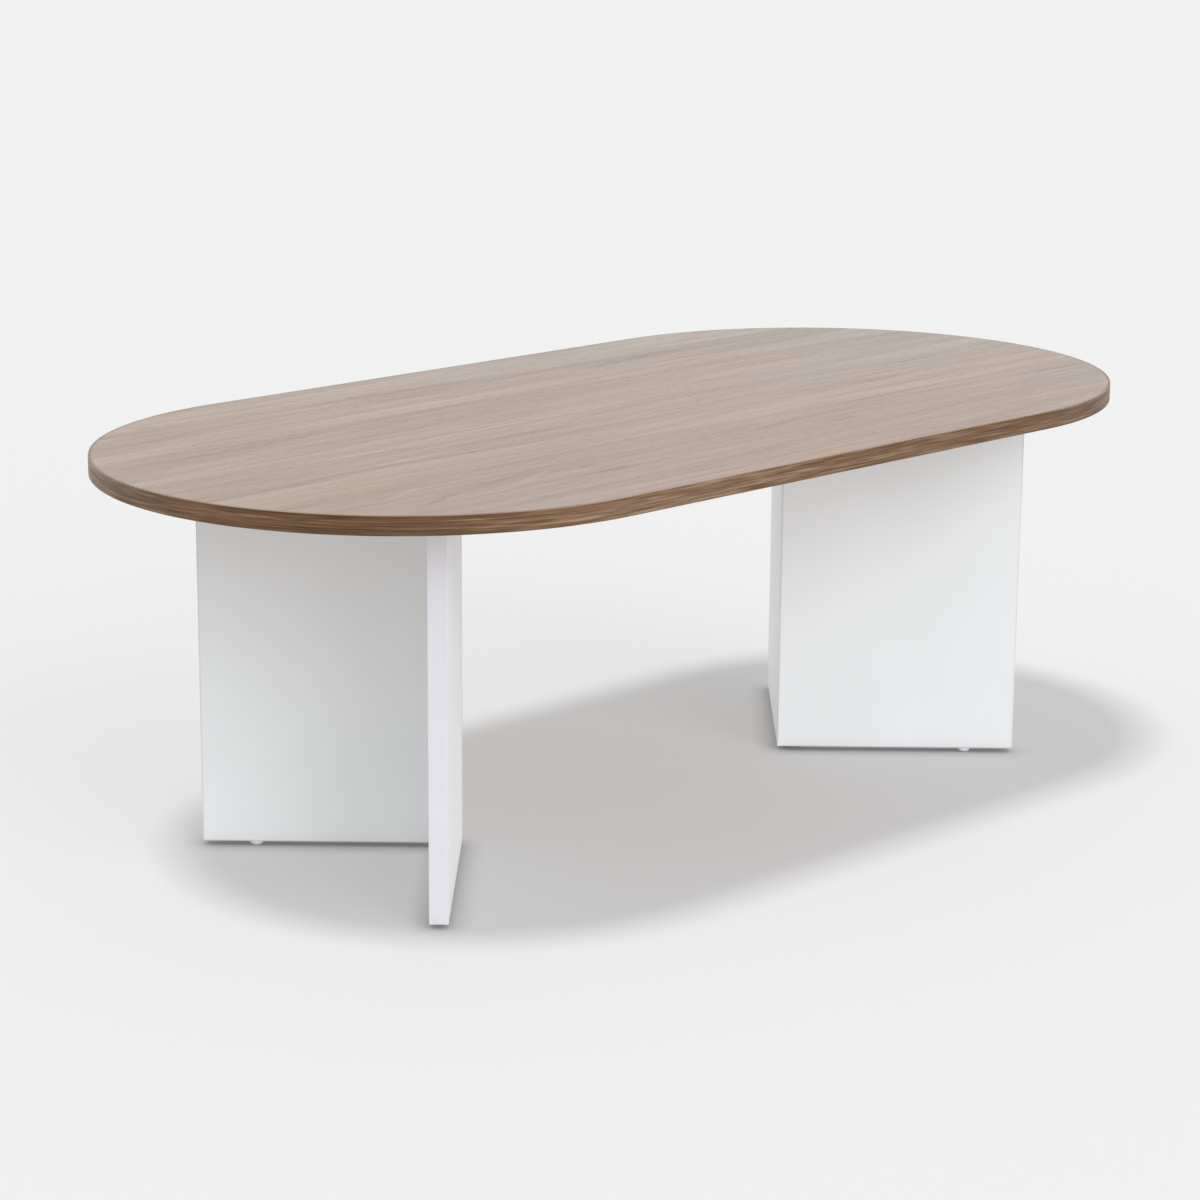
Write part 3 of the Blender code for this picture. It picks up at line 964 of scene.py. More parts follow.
@dataclass(frozen=True)
class TurnedFitting:
    """A kind of small fitting: a body turned about its own +Z, worked further and set in all its places."""

    name: str
    slot: Slot
    finish: Finish
    facets: int = 32
    swing: float = 0.0
    seed: int = 7
    crease: float = 35
    axis_radius: float = 0.001

    def outline(self) -> Outline:
        """The body's radius and height, from its upper pole to its lower one, in millimetres."""
        raise NotImplementedError

    def sizes(self) -> dict[str, Any]:
        """The named inputs that only this kind has."""
        return {}

    def work(self, recipe: Recipe, body: Source) -> Source:
        """Cuts or presses this kind's own details into the turned body, where it has any."""
        return body

    def build(self, places: list[Place]) -> Piece:
        """Makes all the fittings of this kind as one piece.

        Args:
            places: where they sit.

        Returns:
            The finished piece.
        """
        marks = marked_places(f"{self.name}_marks", places)
        shared = {
            "Places": marks,
            "Facets": self.facets,
            "Swing": math.radians(self.swing),
            "Seed": self.seed,
        }
        recipe = Recipe(self.name, self.finish, {**shared, **self.sizes()})
        ring = {"Resolution": recipe.inputs["Facets"], "Radius": self.axis_radius * MM}
        turned = recipe.swept(recipe.add("GeometryNodeCurvePrimitiveCircle", named=ring))
        closed = recipe.add("GeometryNodeMergeByDistance", named={"Geometry": turned, "Distance": WELD})
        own = recipe.add("GeometryNodeInputPosition")
        note = {"Geometry": self.work(recipe, closed), "Name": "own_place", "Value": own}
        noted = recipe.add(
            "GeometryNodeStoreNamedAttribute", named=note, domain="POINT", data_type="FLOAT_VECTOR"
        )
        instances = self.set_in_place(recipe, recipe.shaded(noted, self.crease))
        points = [(radius, -height) for radius, height in self.outline()]
        piece = recipe.follow(drawn_line(f"{self.name}_outline", points, closed=False), instances)
        bpy.data.objects.remove(marks)
        adopt(piece, [place.node for place in places])
        return piece

    def set_in_place(self, recipe: Recipe, body: Source) -> Node:
        """Sets the body on every mark, turned as the mark says and a little further at random.

        Args:
            recipe: the fitting's recipe.
            body: the shaded body.

        Returns:
            The instances.
        """
        swing, seed = recipe.inputs["Swing"], recipe.inputs["Seed"]
        marks = recipe.add("GeometryNodeObjectInfo", named={"Object": recipe.inputs["Places"]})
        turn = recipe.add("GeometryNodeInputNamedAttribute", named={"Name": "turn"}, data_type="FLOAT_VECTOR")
        facing = recipe.add("FunctionNodeEulerToRotation", turn)
        back = recipe.add("ShaderNodeMath", swing, -1, operation="MULTIPLY")
        angle = recipe.add("FunctionNodeRandomValue", back, swing, named={"Seed": seed}, data_type="FLOAT")
        spin = recipe.add("FunctionNodeAxisAngleToRotation", UP, angle)
        spun = recipe.add("FunctionNodeRotateRotation", facing, spin, rotation_space="LOCAL")
        stand = {"Points": marks.outputs["Geometry"], "Instance": body, "Rotation": spun}
        return recipe.add("GeometryNodeInstanceOnPoints", named=stand)

    def place_on_body(self, recipe: Recipe) -> tuple[Source, Source, Source]:
        """Reads where the points of a body are.

        Args:
            recipe: the fitting's recipe.

        Returns:
            The angle round the axis in radians, the distance from the axis and the height in metres.
        """
        place = recipe.add("GeometryNodeInputPosition")
        split = recipe.add("ShaderNodeSeparateXYZ", place).outputs
        angle = recipe.add("ShaderNodeMath", split["Y"], split["X"], operation="ARCTAN2")
        level = recipe.add("ShaderNodeVectorMath", place, LEVEL, operation="MULTIPLY")
        return angle, recipe.add("ShaderNodeVectorMath", level, operation="LENGTH"), split["Z"]

    def push_out(self, recipe: Recipe, body: Source, amount: Source) -> Node:
        """Moves a body's points straight out from its axis.

        Args:
            recipe: the fitting's recipe.
            body: the body.
            amount: how far each point moves, in metres.

        Returns:
            The moved body.
        """
        place = recipe.add("GeometryNodeInputPosition")
        level = recipe.add("ShaderNodeVectorMath", place, LEVEL, operation="MULTIPLY")
        away = recipe.add("ShaderNodeVectorMath", level, operation="NORMALIZE")
        step = recipe.add("ShaderNodeVectorMath", away, amount, operation="SCALE")
        return recipe.add("GeometryNodeSetPosition", named={"Geometry": body, "Offset": step})


@dataclass(frozen=True)
class CamLock(TurnedFitting):
    """A cam lock: its face is at height 0, and the bolt comes in along +X at the board's mid thickness.

    The spare is how far its cutters reach past the body.
    """

    name: str = "cam_locks"
    slot: Slot = Slot.CAM_ZINC
    finish: Finish = CAST_ZINC
    facets: int = 48
    swing: float = 9
    radius: float = 7.4
    depth: float = 13
    chamfer: float = 0.4
    bolt_level: float = -9
    hollow_radius: float = 5.2
    head_room: float = 3.6
    neck_room: float = 2.2
    mouth_lip: float = 0.2
    cross_length: float = 7
    cross_width: float = 1.4
    cross_depth: float = 2.5
    pointer_corners: int = 3
    pointer_radius: float = 1.1
    pointer_place: float = 5.6
    pointer_depth: float = 0.3
    spare: float = 2

    def outline(self) -> Outline:
        """A disc with its edges broken."""
        return rod_outline(self.radius, 0, -self.depth, self.chamfer)

    def cuts(self) -> dict[str, tuple[Vector, Vector]]:
        """The straight cuts: slots for the bolt, and the driver's cross.

        Returns:
            The lowest and the highest corner of each cut by its name, in metres.
        """
        reach, below = self.radius + self.spare, -self.depth - self.spare
        bolt, room = self.bolt_level, self.head_room
        long, thin, deep = self.cross_length / 2, self.cross_width / 2, -self.cross_depth
        corners = {
            "Neck slot": ((0, -reach, bolt - self.neck_room), (reach, reach, bolt + self.neck_room)),
            "Mouth": ((-room, -reach, below), (room, 0, bolt + room - self.mouth_lip)),
            "Cross one": ((-long, -thin, deep), (long, thin, self.spare)),
            "Cross two": ((-thin, -long, deep), (thin, long, self.spare)),
        }
        return {label: (Vector(low) * MM, Vector(high) * MM) for label, (low, high) in corners.items()}

    def sizes(self) -> dict[str, Any]:
        """The cuts' corners and the sizes of the hollow and the pointer.

        Returns:
            The named inputs and their values.
        """
        ends = {}
        for label, (low, high) in self.cuts().items():
            ends[f"{label} from"] = low
            ends[f"{label} to"] = high
        top, bottom = self.bolt_level + self.head_room, -self.depth - self.spare
        return {
            **ends,
            "Hollow radius": self.hollow_radius * MM,
            "Hollow depth": (top - bottom) * MM,
            "Hollow place": Vector((0, 0, (top + bottom) / 2)) * MM,
            "Pointer radius": self.pointer_radius * MM,
            "Pointer depth": 2 * self.pointer_depth * MM,
            "Pointer place": Vector((self.pointer_place, 0, 0)) * MM,
        }

    def work(self, recipe: Recipe, body: Source) -> Node:
        """Cuts the hollow, the slots, the driver's cross and the small pointer that shows where the bolt is.

        Args:
            recipe: the cam locks' recipe.
            body: the turned body.

        Returns:
            The cut body.
        """
        inputs = recipe.inputs
        cutters = []
        for label in self.cuts():
            ends = (inputs[f"{label} to"], inputs[f"{label} from"])
            span = recipe.add("ShaderNodeVectorMath", *ends, operation="SUBTRACT")
            total = recipe.add("ShaderNodeVectorMath", *ends, operation="ADD")
            middle = recipe.add("ShaderNodeVectorMath", total, 0.5, operation="SCALE")
            cutters.append((recipe.add("GeometryNodeMeshCube", span), middle))
        for label, corners in (("Hollow", inputs["Facets"]), ("Pointer", self.pointer_corners)):
            radius, depth = inputs[f"{label} radius"], inputs[f"{label} depth"]
            shape = {"Vertices": corners, "Radius": radius, "Depth": depth}
            cutters.append((recipe.add("GeometryNodeMeshCylinder", named=shape), inputs[f"{label} place"]))
        moved = [
            recipe.add("GeometryNodeTransform", named={"Geometry": cutter, "Translation": place})
            for cutter, place in cutters
        ]
        meshes = {"Mesh 1": body, "Mesh 2": moved}
        return recipe.add("GeometryNodeMeshBoolean", named=meshes, operation="DIFFERENCE", solver="EXACT")


@dataclass(frozen=True)
class CamBolt(TurnedFitting):
    """A cam bolt: height 0 is the face that it screws into, and its head lies on the cam's axis.

    The flank is where the thread rises, in turns from the middle of its groove.
    """

    name: str = "cam_bolts"
    slot: Slot = Slot.BOLT_STEEL
    finish: Finish = PLATED_STEEL
    facets: int = 24
    head_middle: float = 24
    head_radius: float = 3.4
    head_round: float = 1.3
    head_steps: int = 6
    neck_radius: float = 2
    neck_start: float = 16.3
    shank_radius: float = 3
    collar_radius: float = 3.6
    collar_from: float = 0.3
    collar_to: float = 1.8
    thread_radius: float = 2.5
    core_radius: float = 1.8
    thread_length: float = 11
    thread_gap: float = 0.5
    thread_run_out: float = 1.2
    flank: tuple[float, float] = (0.2, 0.44)
    point: float = 1.5
    point_taper: float = 0.8
    pitch: float = 2
    rings: int = 48
    break_edge: float = 0.2

    def outline(self) -> Outline:
        """Head, neck, shank, collar and the core of the thread.

        Returns:
            Radius and height of each point, in millimetres.
        """
        points: Outline = [(0, self.head_middle + self.head_radius)]
        inner, soft = self.head_radius - self.head_round, self.break_edge
        radii = (self.head_round, self.head_round)
        for rise, start in ((inner, 90), (-inner, 0)):
            points += arc((inner, self.head_middle + rise), radii, start, -90, self.head_steps)
        points += [
            (self.neck_radius, self.head_middle - self.head_radius),
            (self.neck_radius, self.neck_start),
            (self.shank_radius - soft, self.neck_start),
            (self.shank_radius, self.neck_start - soft),
            (self.shank_radius, self.collar_to),
            (self.collar_radius - soft, self.collar_to),
            (self.collar_radius, self.collar_to - soft),
            (self.collar_radius, self.collar_from + soft),
            (self.collar_radius - soft, self.collar_from),
            (self.core_radius, self.collar_from),
        ]
        run = self.point - self.thread_length - self.collar_from
        for ring in range(1, self.rings + 1):
            points.append((self.core_radius, self.collar_from + run * ring / self.rings))
        return [*points, (self.core_radius - self.point_taper, -self.thread_length), (0, -self.thread_length)]

    def sizes(self) -> dict[str, Any]:
        """The thread's pitch, height and ends.

        Returns:
            The named inputs and their values.
        """
        return {
            "Pitch": self.pitch * MM,
            "Thread height": (self.thread_radius - self.core_radius) * MM,
            "Thread from": (self.point - self.thread_length) * MM,
            "Thread to": (self.collar_from - self.thread_gap) * MM,
        }

    def work(self, recipe: Recipe, body: Source) -> Node:
        """Raises the thread out of the core.

        Args:
            recipe: the bolts' recipe.
            body: the turned body.

        Returns:
            The threaded body.
        """
        inputs = recipe.inputs
        angle, _, height = self.place_on_body(recipe)
        share = recipe.add("ShaderNodeMath", angle, 1 / (2 * math.pi), operation="MULTIPLY")
        climb = recipe.add("ShaderNodeMath", height, inputs["Pitch"], operation="DIVIDE")
        turns = recipe.add("ShaderNodeMath", climb, share, operation="SUBTRACT")
        wave = recipe.add("ShaderNodeMath", turns, 0.5, operation="PINGPONG")
        raised = recipe.add("ShaderNodeMapRange", wave, *self.flank)
        run = self.thread_run_out * MM
        for edge, into in ((inputs["Thread from"], run), (inputs["Thread to"], -run)):
            whole = recipe.add("ShaderNodeMath", edge, into, operation="ADD")
            fade = recipe.add("ShaderNodeMapRange", height, edge, whole, interpolation_type="SMOOTHSTEP")
            raised = recipe.add("ShaderNodeMath", raised, fade, operation="MULTIPLY")
        lift = recipe.add("ShaderNodeMath", raised, inputs["Thread height"], operation="MULTIPLY")
        return self.push_out(recipe, body, lift)


@dataclass(frozen=True)
class FlutedDowel(TurnedFitting):
    """A dowel: height 0 is where the two boards meet."""

    name: str = "fluted_dowels"
    slot: Slot = Slot.DOWEL_BEECH
    finish: Finish = Beech()
    facets: int = 120
    radius: float = 4
    top: float = 20
    foot: float = -10
    chamfer: float = 1
    flutes: int = 20
    flute_depth: float = 0.35
    flute_span: tuple[float, float] = (0.1, 1.0)

    def outline(self) -> Outline:
        """A rod with tapered ends."""
        return rod_outline(self.radius, self.top, self.foot, self.chamfer)

    def sizes(self) -> dict[str, Any]:
        """The flutes' number and depth, and the radii between which they run out.

        Returns:
            The named inputs and their values.
        """
        return {
            "Flutes": self.flutes,
            "Flute depth": self.flute_depth * MM,
            "Tip radius": (self.radius - self.chamfer) * MM,
            "Full radius": self.radius * MM,
        }

    def work(self, recipe: Recipe, body: Source) -> Node:
        """Presses the flutes in.

        Args:
            recipe: the dowels' recipe.
            body: the turned body.

        Returns:
            The fluted body.
        """
        inputs = recipe.inputs
        angle, far, _ = self.place_on_body(recipe)
        turns = recipe.add("ShaderNodeMath", angle, inputs["Flutes"], operation="MULTIPLY")
        wave = recipe.add("ShaderNodeMath", turns, operation="COSINE")
        groove = recipe.add("ShaderNodeMapRange", wave, *self.flute_span)
        fade = recipe.add("ShaderNodeMapRange", far, inputs["Tip radius"], inputs["Full radius"])
        kept = recipe.add("ShaderNodeMath", groove, fade, operation="MULTIPLY")
        deep = recipe.add("ShaderNodeMath", kept, inputs["Flute depth"], operation="MULTIPLY")
        return self.push_out(recipe, body, recipe.add("ShaderNodeMath", deep, -1, operation="MULTIPLY"))


@dataclass(frozen=True)
class NailGlide(TurnedFitting):
    """A glide: a tapered button that stands on the floor, moulded round its nail's head."""

    name: str = "nail_glides"
    slot: Slot = Slot.GLIDE_PLASTIC
    finish: Finish = POLYETHYLENE
    facets: int = 64
    height: float = 5
    rim_radius: float = 7.5
    rim: float = 1.2
    foot_radius: float = 4.5
    pocket_radius: float = 3.2
    pocket_from: float = 1.6
    pocket_to: float = 3
    hole_radius: float = 1.2
    foot_steps: int = 12
    break_edge: float = 0.2

    def outline(self) -> Outline:
        """The nail's pocket from inside, the rim and the rounded foot.

        Returns:
            Radius and height of each point, in millimetres.
        """
        rise, flare = self.height - self.rim, self.rim_radius - self.foot_radius
        return [
            (0, self.pocket_from),
            (self.pocket_radius, self.pocket_from),
            (self.pocket_radius, self.pocket_to),
            (self.hole_radius, self.pocket_to),
            (self.hole_radius, self.height),
            (self.rim_radius - self.break_edge, self.height),
            (self.rim_radius, self.height - self.break_edge),
            *arc((self.foot_radius, rise), (flare, rise), 0, -90, self.foot_steps),
            (0, 0),
        ]


@dataclass(frozen=True)
class GlideNail(TurnedFitting):
    """A glide's nail, head down, with rings on its shank."""

    name: str = "glide_nails"
    slot: Slot = Slot.BOLT_STEEL
    finish: Finish = PLATED_STEEL
    facets: int = 20
    tip: float = 21
    point: float = 3
    radius: float = 1
    ring_depth: float = 0.15
    ring_spacing: float = 1
    ring_slope: float = 0.7
    plain_neck: float = 2
    head_radius: float = 3
    head_from: float = 1.8
    head_to: float = 2.8

    def outline(self) -> Outline:
        """Point, ringed shank and flat head.

        Returns:
            Radius and height of each point, in millimetres.
        """
        points: Outline = [(0, self.tip)]
        level = self.tip - self.point
        while level > self.head_to + self.plain_neck:
            points += [(self.radius, level), (self.radius - self.ring_depth, level - self.ring_slope)]
            level -= self.ring_spacing
        return [
            *points,
            (self.radius, level),
            (self.radius, self.head_to),
            (self.head_radius, self.head_to),
            (self.head_radius, self.head_from),
            (0, self.head_from),
        ]


@dataclass
class TableTop:
    """The oval board and the band round its rim."""

    length: float = 1200
    width: float = 600
    height: float = 410
    thickness: float = 18
    band: float = 2
    glue_line: float = 0.05
    arris: float = 0.7
    arris_steps: int = 6
    arris_guard: float = 0.15
    corner_facets: int = 72
    weld: float = 0.04
    crease: float = 40
    closing_jump: float = 0.25
    print_finish: WalnutMelamine = WalnutMelamine()
    band_finish: WalnutEdge = WalnutEdge()

    def dress(self, nodes: dict[str, Piece]) -> Piece:
        """Gives the board its print."""
        return dress_solid(nodes["table_top"], self.print_finish.material())

    def section(self) -> Outline:
        """The band's section, with +x outwards from the rim and +y down from the underside.

        Returns:
            Points in millimetres, with one more beside each rounding to keep the flat faces flat.
        """
        inner, radius, guard = self.band - self.glue_line, self.arris, self.arris_guard
        rise = self.thickness - radius
        rounding = arc((radius, rise), (radius, radius), 90, 90, self.arris_steps)
        upper = [(radius + guard, self.thickness), *rounding, (0.0, rise - guard)]
        lower = [(inwards, self.thickness - upwards) for inwards, upwards in reversed(upper)]
        points = [(inner, 0.0), (inner, self.thickness), *upper, *lower]
        return [(-inwards, -upwards) for inwards, upwards in points]

    def build_band(self) -> Piece:
        """Sweeps the band's section round the rim.

        Returns:
            The finished piece.
        """
        sizes = {
            "Length": self.length * MM,
            "Width": self.width * MM,
            "Level": (self.height - self.thickness) * MM,
            "Corner radius": self.width * MM / 2 - WELD,
            "Corner facets": self.corner_facets,
        }
        recipe = Recipe("rim_band", self.band_finish, sizes)
        inputs = recipe.inputs
        corners = recipe.add(
            "GeometryNodeCurvePrimitiveQuadrilateral", inputs["Length"], inputs["Width"], mode="RECTANGLE"
        )
        rounding = {"Curve": corners, "Count": inputs["Corner facets"], "Radius": inputs["Corner radius"]}
        rounded = recipe.add("GeometryNodeFilletCurve", named=rounding, mode="POLY")
        lift = recipe.add("ShaderNodeCombineXYZ", named={"Z": inputs["Level"]})
        path = recipe.add("GeometryNodeTransform", named={"Geometry": rounded, "Translation": lift})
        travel = recipe.add("GeometryNodeSplineParameter").outputs["Length"]
        note = {"Geometry": path, "Name": "along_rim", "Value": travel}
        noted = recipe.add("GeometryNodeStoreNamedAttribute", named=note, domain="POINT", data_type="FLOAT")
        weld = {"Geometry": recipe.swept(noted), "Distance": self.weld * MM}
        welded = recipe.add("GeometryNodeMergeByDistance", named=weld)
        note = {"Geometry": welded, "Name": "along_rim", "Value": self.unbroken_travel(recipe, path)}
        noted = recipe.add("GeometryNodeStoreNamedAttribute", named=note, domain="CORNER", data_type="FLOAT")
        section = drawn_line("band_section", self.section(), closed=True)
        piece = recipe.follow(section, recipe.shaded(noted, self.crease))
        adopt(piece, ["top_edge_band"])
        return piece

    def unbroken_travel(self, recipe: Recipe, path: Source) -> Node:
        """Keeps the distance along the rim rising across the face where the path closes.

        Args:
            recipe: the band's recipe.
            path: the rim's path.

        Returns:
            The distance for each face corner.
        """
        whole = recipe.add("GeometryNodeCurveLength", path)
        travel = recipe.add("GeometryNodeInputNamedAttribute", named={"Name": "along_rim"}, data_type="FLOAT")
        face = recipe.add("GeometryNodeFieldOnDomain", travel, domain="FACE", data_type="FLOAT")
        behind = recipe.add("ShaderNodeMath", face, travel, operation="SUBTRACT")
        jump = recipe.add("ShaderNodeMath", whole, self.closing_jump, operation="MULTIPLY")
        closes = recipe.add("ShaderNodeMath", behind, jump, operation="GREATER_THAN")
        return recipe.add("ShaderNodeMath", closes, whole, travel, operation="MULTIPLY_ADD")


@dataclass
class ArrowLeg:
    """One leg: two white boards at a right angle, with their corner towards the middle of the table."""

    name: str
    direction: float
    half_angle: float = 45
    corner_from_middle: float = 231
    arm: float = 256
    thickness: float = 18
    underside: float = 392
    top_joints: tuple[float, float] = (70, 206)
    corner_levels: tuple[float, float] = (101.4, 296.7)
    dowel_levels: tuple[float, float] = (56.4, 341.7)
    cam_setback: float = 24
    glide_from_end: float = 52

    def along(self, board: Board) -> Vector:
        """The way a board runs from the corner to its free end."""
        return heading(self.direction + (-self.half_angle if board is Board.MAIN else self.half_angle))

    def inward(self, board: Board) -> Vector:
        """The way a board's inner face looks."""
        return self.along(Board.RETURN if board is Board.MAIN else Board.MAIN)

    def dress(self, nodes: dict[str, Piece], face: Material, edge: Material) -> list[Piece]:
        """Gives the boards and their bands their finishes.

        Args:
            nodes: the solids by name.
            face: the boards' finish.
            edge: the bands' finish.

        Returns:
            The boards and the bands.
        """
        endings = {"_panel": (face, Slot.WHITE_FACE), "_band": (edge, Slot.WHITE_EDGE)}
        dressed = []
        for name, node in nodes.items():
            for ending, (material, slot) in endings.items():
                if name.startswith(self.name) and name.endswith(ending):
                    dressed.append(dress_solid(node, material))
        return dressed

    def place(self, name: str, at: Vector, axis: Vector, side: Vector) -> Place:
        """Makes a fitting's place from an origin in millimetres from the leg's corner on the floor."""
        corner = heading(self.direction) * self.corner_from_middle
        return Place(f"{self.name}_{name}", (corner + at) * MM, axis, side)

    def corner_point(self, level: float) -> Vector:
        """The point where a fitting of the corner crosses from board to board, at a level."""
        across = self.along(Board.RETURN) * self.thickness
        return self.along(Board.MAIN) * self.thickness / 2 + across + UP * level

    def board_point(self, board: Board, distance: float, level: float) -> Vector:
        """The point in the middle of a board's thickness, so far from the corner, at a level."""
        return self.along(board) * distance + self.inward(board) * self.thickness / 2 + UP * level

    def cam_joints(self) -> list[tuple[str, Vector, Vector, Vector]]:
        """The joints that a cam draws tight.

        Returns:
            For each, its solids' name with a gap for the fitting, the point where its bolt leaves the other
            board's face, the way the bolt runs and the way the cam looks.
        """
        joints = []
        for number, level in enumerate(self.corner_levels, start=1):
            run, look = self.along(Board.RETURN), self.inward(Board.RETURN)
            joints.append((f"corner_{{}}_{number}", self.corner_point(level), run, look))
        for board in Board:
            for number, distance in enumerate(self.top_joints, start=1):
                at = self.board_point(board, distance, self.underside)
                joints.append((f"{board.value}_top_{{}}_{number}", at, -UP, self.inward(board)))
        return joints

    def cam_places(self) -> list[Place]:
        """Finds where the cam locks sit, with their faces flush with the boards.

        Returns:
            One place for each joint.
        """
        places = []
        for name, at, into, look in self.cam_joints():
            face = at + into * self.cam_setback + look * self.thickness / 2
            places.append(self.place(name.format("cam"), face, look, -into))
        return places

    def bolt_places(self) -> list[Place]:
        """Where the cam bolts sit."""
        return [self.place(name.format("bolt"), at, into, look) for name, at, into, look in self.cam_joints()]

    def dowel_places(self) -> list[Place]:
        """Finds where the dowels sit.

        Returns:
            Two places in the corner and one in each board's top.
        """
        places = []
        for number, level in enumerate(self.dowel_levels, start=1):
            at = self.corner_point(level)
            places.append(self.place(f"corner_dowel_{number}", at, self.along(Board.RETURN), UP))
        for board in Board:
            at = self.board_point(board, sum(self.top_joints) / 2, self.underside)
            places.append(self.place(f"{board.value}_top_dowel", at, -UP, EAST))
        return places

    def foot_places(self, ending: str) -> list[Place]:
        """Where the glides or their nails sit on the floor, one under each board."""
        points = {board: self.board_point(board, self.arm - self.glide_from_end, 0) for board in Board}
        return [self.place(f"{board.value}_{ending}", at, UP, EAST) for board, at in points.items()]


@dataclass(frozen=True)
class SoftLamp:
    """A soft lamp far off: its place in degrees round and up, and the angle that its soft face fills.

    The level is the light that it gives to a surface that faces it, where 1 shows a colour as it is written.
    """

    name: str
    azimuth: float
    elevation: float
    softness: float
    level: float
    tint: str = "#FFFFFF"

    def build(self) -> bpy.types.Object:
        """Hangs the lamp.

        Returns:
            The lamp.
        """
        data = bpy.data.lights.new(self.name, "SUN")
        data.angle = math.radians(self.softness)
        data.energy = self.level * math.pi
        data.color = linear(self.tint)[:3]
        lamp = put_in_scene(self.name, data)
        turn, rise = math.radians(self.azimuth), math.radians(self.elevation)
        away = Vector((math.sin(turn) * math.cos(rise), -math.cos(turn) * math.cos(rise), math.sin(rise)))
        lamp.rotation_mode = "QUATERNION"
        lamp.rotation_quaternion = away.to_track_quat("Z", "Y")
        return lamp


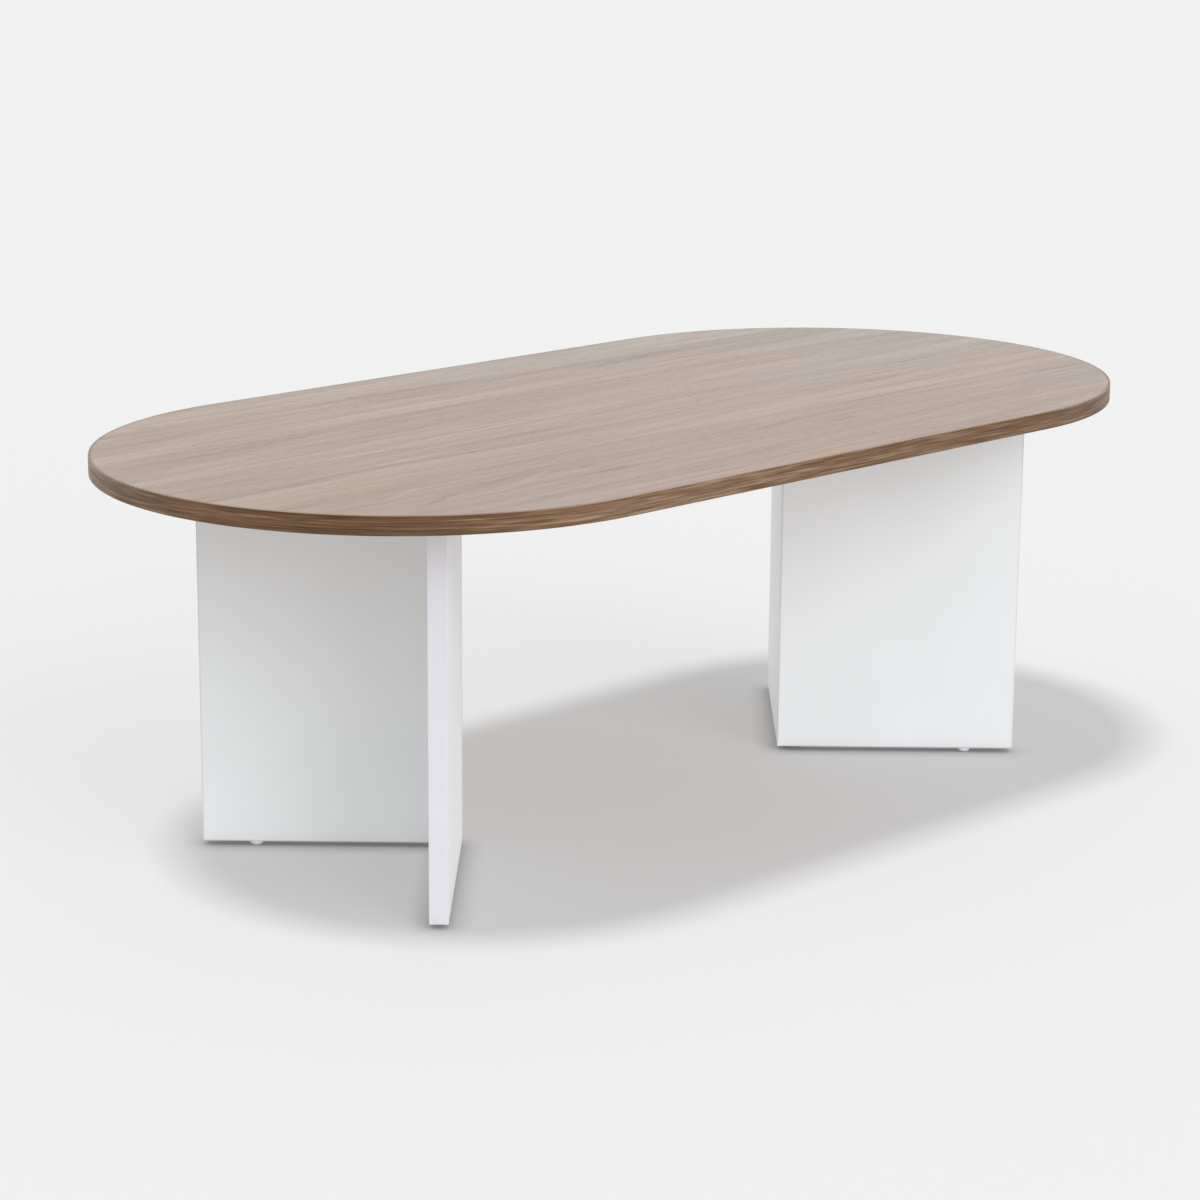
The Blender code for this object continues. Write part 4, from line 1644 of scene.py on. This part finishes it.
@dataclass
class Studio:
    """The floor, the light and the camera.

    The floor's size, the camera's place and how far it sees are in metres.
    """

    floor_size: float = 60
    floor_tone: str = "#F0F0F0"
    floor_albedo: str = "#C4C4C4"
    floor_glow: float = 0.36
    floor_bounce: float = 0.9
    contact_reach: float = 25
    contact_level: float = 0.0
    contact_samples: int = 4
    sky_levels: tuple[float, float] = (0.48, 0.82)
    sky_sheen: float = 1.0
    front_lamp: SoftLamp = SoftLamp("front_lamp", -6, 27, 40, 0.38, "#F8FBFF")
    floor_lamp: SoftLamp = SoftLamp("floor_lamp", -90, 77, 11, 0.75)
    lens: float = 97.13
    sensor: float = 36
    sight: float = 200
    place: tuple[float, float, float] = (-2.28514, -2.27858, 1.01894)
    yaw: float = -44.552
    pitch: float = 14.092
    roll: float = 0.423

    def rays(self, tree: Tree, *kinds: str) -> Source:
        """Marks the rays of some kinds.

        Args:
            tree: the nodes of the floor or of the world.
            kinds: the names of the kinds.

        Returns:
            1 for those rays and 0 for the others.
        """
        path = add_node(tree, "ShaderNodeLightPath").outputs
        share = path[kinds[0]]
        for kind in kinds[1:]:
            share = add_node(tree, "ShaderNodeMath", share, path[kind], operation="MAXIMUM")
        return share

    def floor_paper(self) -> Material:
        """Makes the floor's matt paper, which shows a pale tone and darkens under whatever stands on it, where
        a painted contact shadow darkens its glow.

        Returns:
            The new material.
        """
        made = bpy.data.materials.new("matt_studio_paper")
        tree = cleared_tree(made)
        matt = add_node(tree, "ShaderNodeBsdfDiffuse", linear(self.floor_albedo))
        # The glow darkens near whatever stands on the floor: a painted contact shadow.
        reach = {"Distance": self.contact_reach * MM}
        near = add_node(tree, "ShaderNodeAmbientOcclusion", named=reach, samples=self.contact_samples)
        painted_contact_shade = add_node(tree, "ShaderNodeMapRange", near.outputs["AO"], 0, 1, self.contact_level, 1)
        glow = add_node(tree, "ShaderNodeEmission", linear(self.floor_tone), painted_contact_shade)
        seen = self.rays(tree, "Is Camera Ray", "Is Glossy Ray", "Is Transmission Ray")
        share = add_node(tree, "ShaderNodeMapRange", seen, 0, 1, self.floor_bounce, self.floor_glow)
        mixed = add_node(tree, "ShaderNodeMixShader", share, matt, glow)
        add_node(tree, "ShaderNodeOutputMaterial", named={"Surface": mixed})
        return made

    def build_floor(self) -> bpy.types.Object:
        """Lays a plain pale floor that reaches past the view.

        Returns:
            The floor.
        """
        half = self.floor_size / 2
        corners = [(-half, -half, 0), (half, -half, 0), (half, half, 0), (-half, half, 0)]
        mesh = bpy.data.meshes.new("floor")
        mesh.from_pydata(corners, [], [(0, 1, 2, 3)])
        mesh.materials.append(self.floor_paper())
        floor = put_in_scene("floor", mesh)
        return floor

    def build_light(self, floor: bpy.types.Object) -> None:
        """Lights the table evenly from all round and a little more from the front.

        The lamp above gives only the floor its light, so that the table's shadow has an edge.

        Args:
            floor: the floor.
        """
        world = bpy.data.worlds.new("white_studio")
        tree = cleared_tree(world)
        way = add_node(tree, "ShaderNodeTexCoord").outputs["Generated"]
        rise = add_node(tree, "ShaderNodeSeparateXYZ", way).outputs["Z"]
        level = add_node(tree, "ShaderNodeMapRange", rise, 0, 1, *self.sky_levels)
        white, backdrop = linear("#FFFFFF"), linear(self.floor_tone)
        light = add_node(tree, "ShaderNodeBackground", white, level)
        sheen = add_node(tree, "ShaderNodeBackground", white, self.sky_sheen)
        back = add_node(tree, "ShaderNodeBackground", backdrop, 1)
        lit = add_node(tree, "ShaderNodeMixShader", self.rays(tree, "Is Glossy Ray"), light, sheen)
        seen = self.rays(tree, "Is Camera Ray", "Is Transmission Ray")
        mixed = add_node(tree, "ShaderNodeMixShader", seen, lit, back)
        add_node(tree, "ShaderNodeOutputWorld", named={"Surface": mixed})
        bpy.context.scene.world = world
        self.front_lamp.build()
        below = bpy.data.collections.new("lit_from_above")
        below.objects.link(floor)
        self.floor_lamp.build().light_linking.receiver_collection = below

    def build_camera(self) -> None:
        """Sets the camera where the photograph was taken from."""
        data = bpy.data.cameras.new("camera")
        data.lens = self.lens
        data.sensor_width = self.sensor
        data.clip_end = self.sight
        camera = put_in_scene("camera", data)
        yaw = Matrix.Rotation(math.radians(self.yaw), 4, "Z")
        pitch = Matrix.Rotation(math.radians(90 - self.pitch), 4, "X")
        roll = Matrix.Rotation(math.radians(self.roll), 4, "Z")
        camera.matrix_world = Matrix.Translation(self.place) @ yaw @ pitch @ roll
        bpy.context.scene.camera = camera
        bpy.context.scene.view_settings.view_transform = "Standard"


def main() -> None:
    """Loads the frame, dresses the table, reports its pieces and lights it."""
    logging.basicConfig(level=logging.INFO, format="%(message)s")
    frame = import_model()
    nodes = frame["nodes"]
    top = TableTop()
    pieces = [top.dress(nodes), top.build_band()]
    face, edge = WHITE_MELAMINE.material(), WHITE_ABS.material()
    legs = (ArrowLeg("left_leg", 180), ArrowLeg("right_leg", 0))
    for leg in legs:
        pieces += leg.dress(nodes, face, edge)
    pieces += [
        CamLock().build([place for leg in legs for place in leg.cam_places()]),
        CamBolt().build([place for leg in legs for place in leg.bolt_places()]),
        FlutedDowel().build([place for leg in legs for place in leg.dowel_places()]),
        NailGlide().build([place for leg in legs for place in leg.foot_places("glide")]),
        GlideNail().build([place for leg in legs for place in leg.foot_places("glide_nail")]),
    ]
    for piece in pieces:
        LOG.info("%s: %d faces", piece.name, len(piece.data.polygons))
    studio = Studio()
    studio.build_light(studio.build_floor())
    studio.build_camera()


if __name__ == "__main__":
    main()
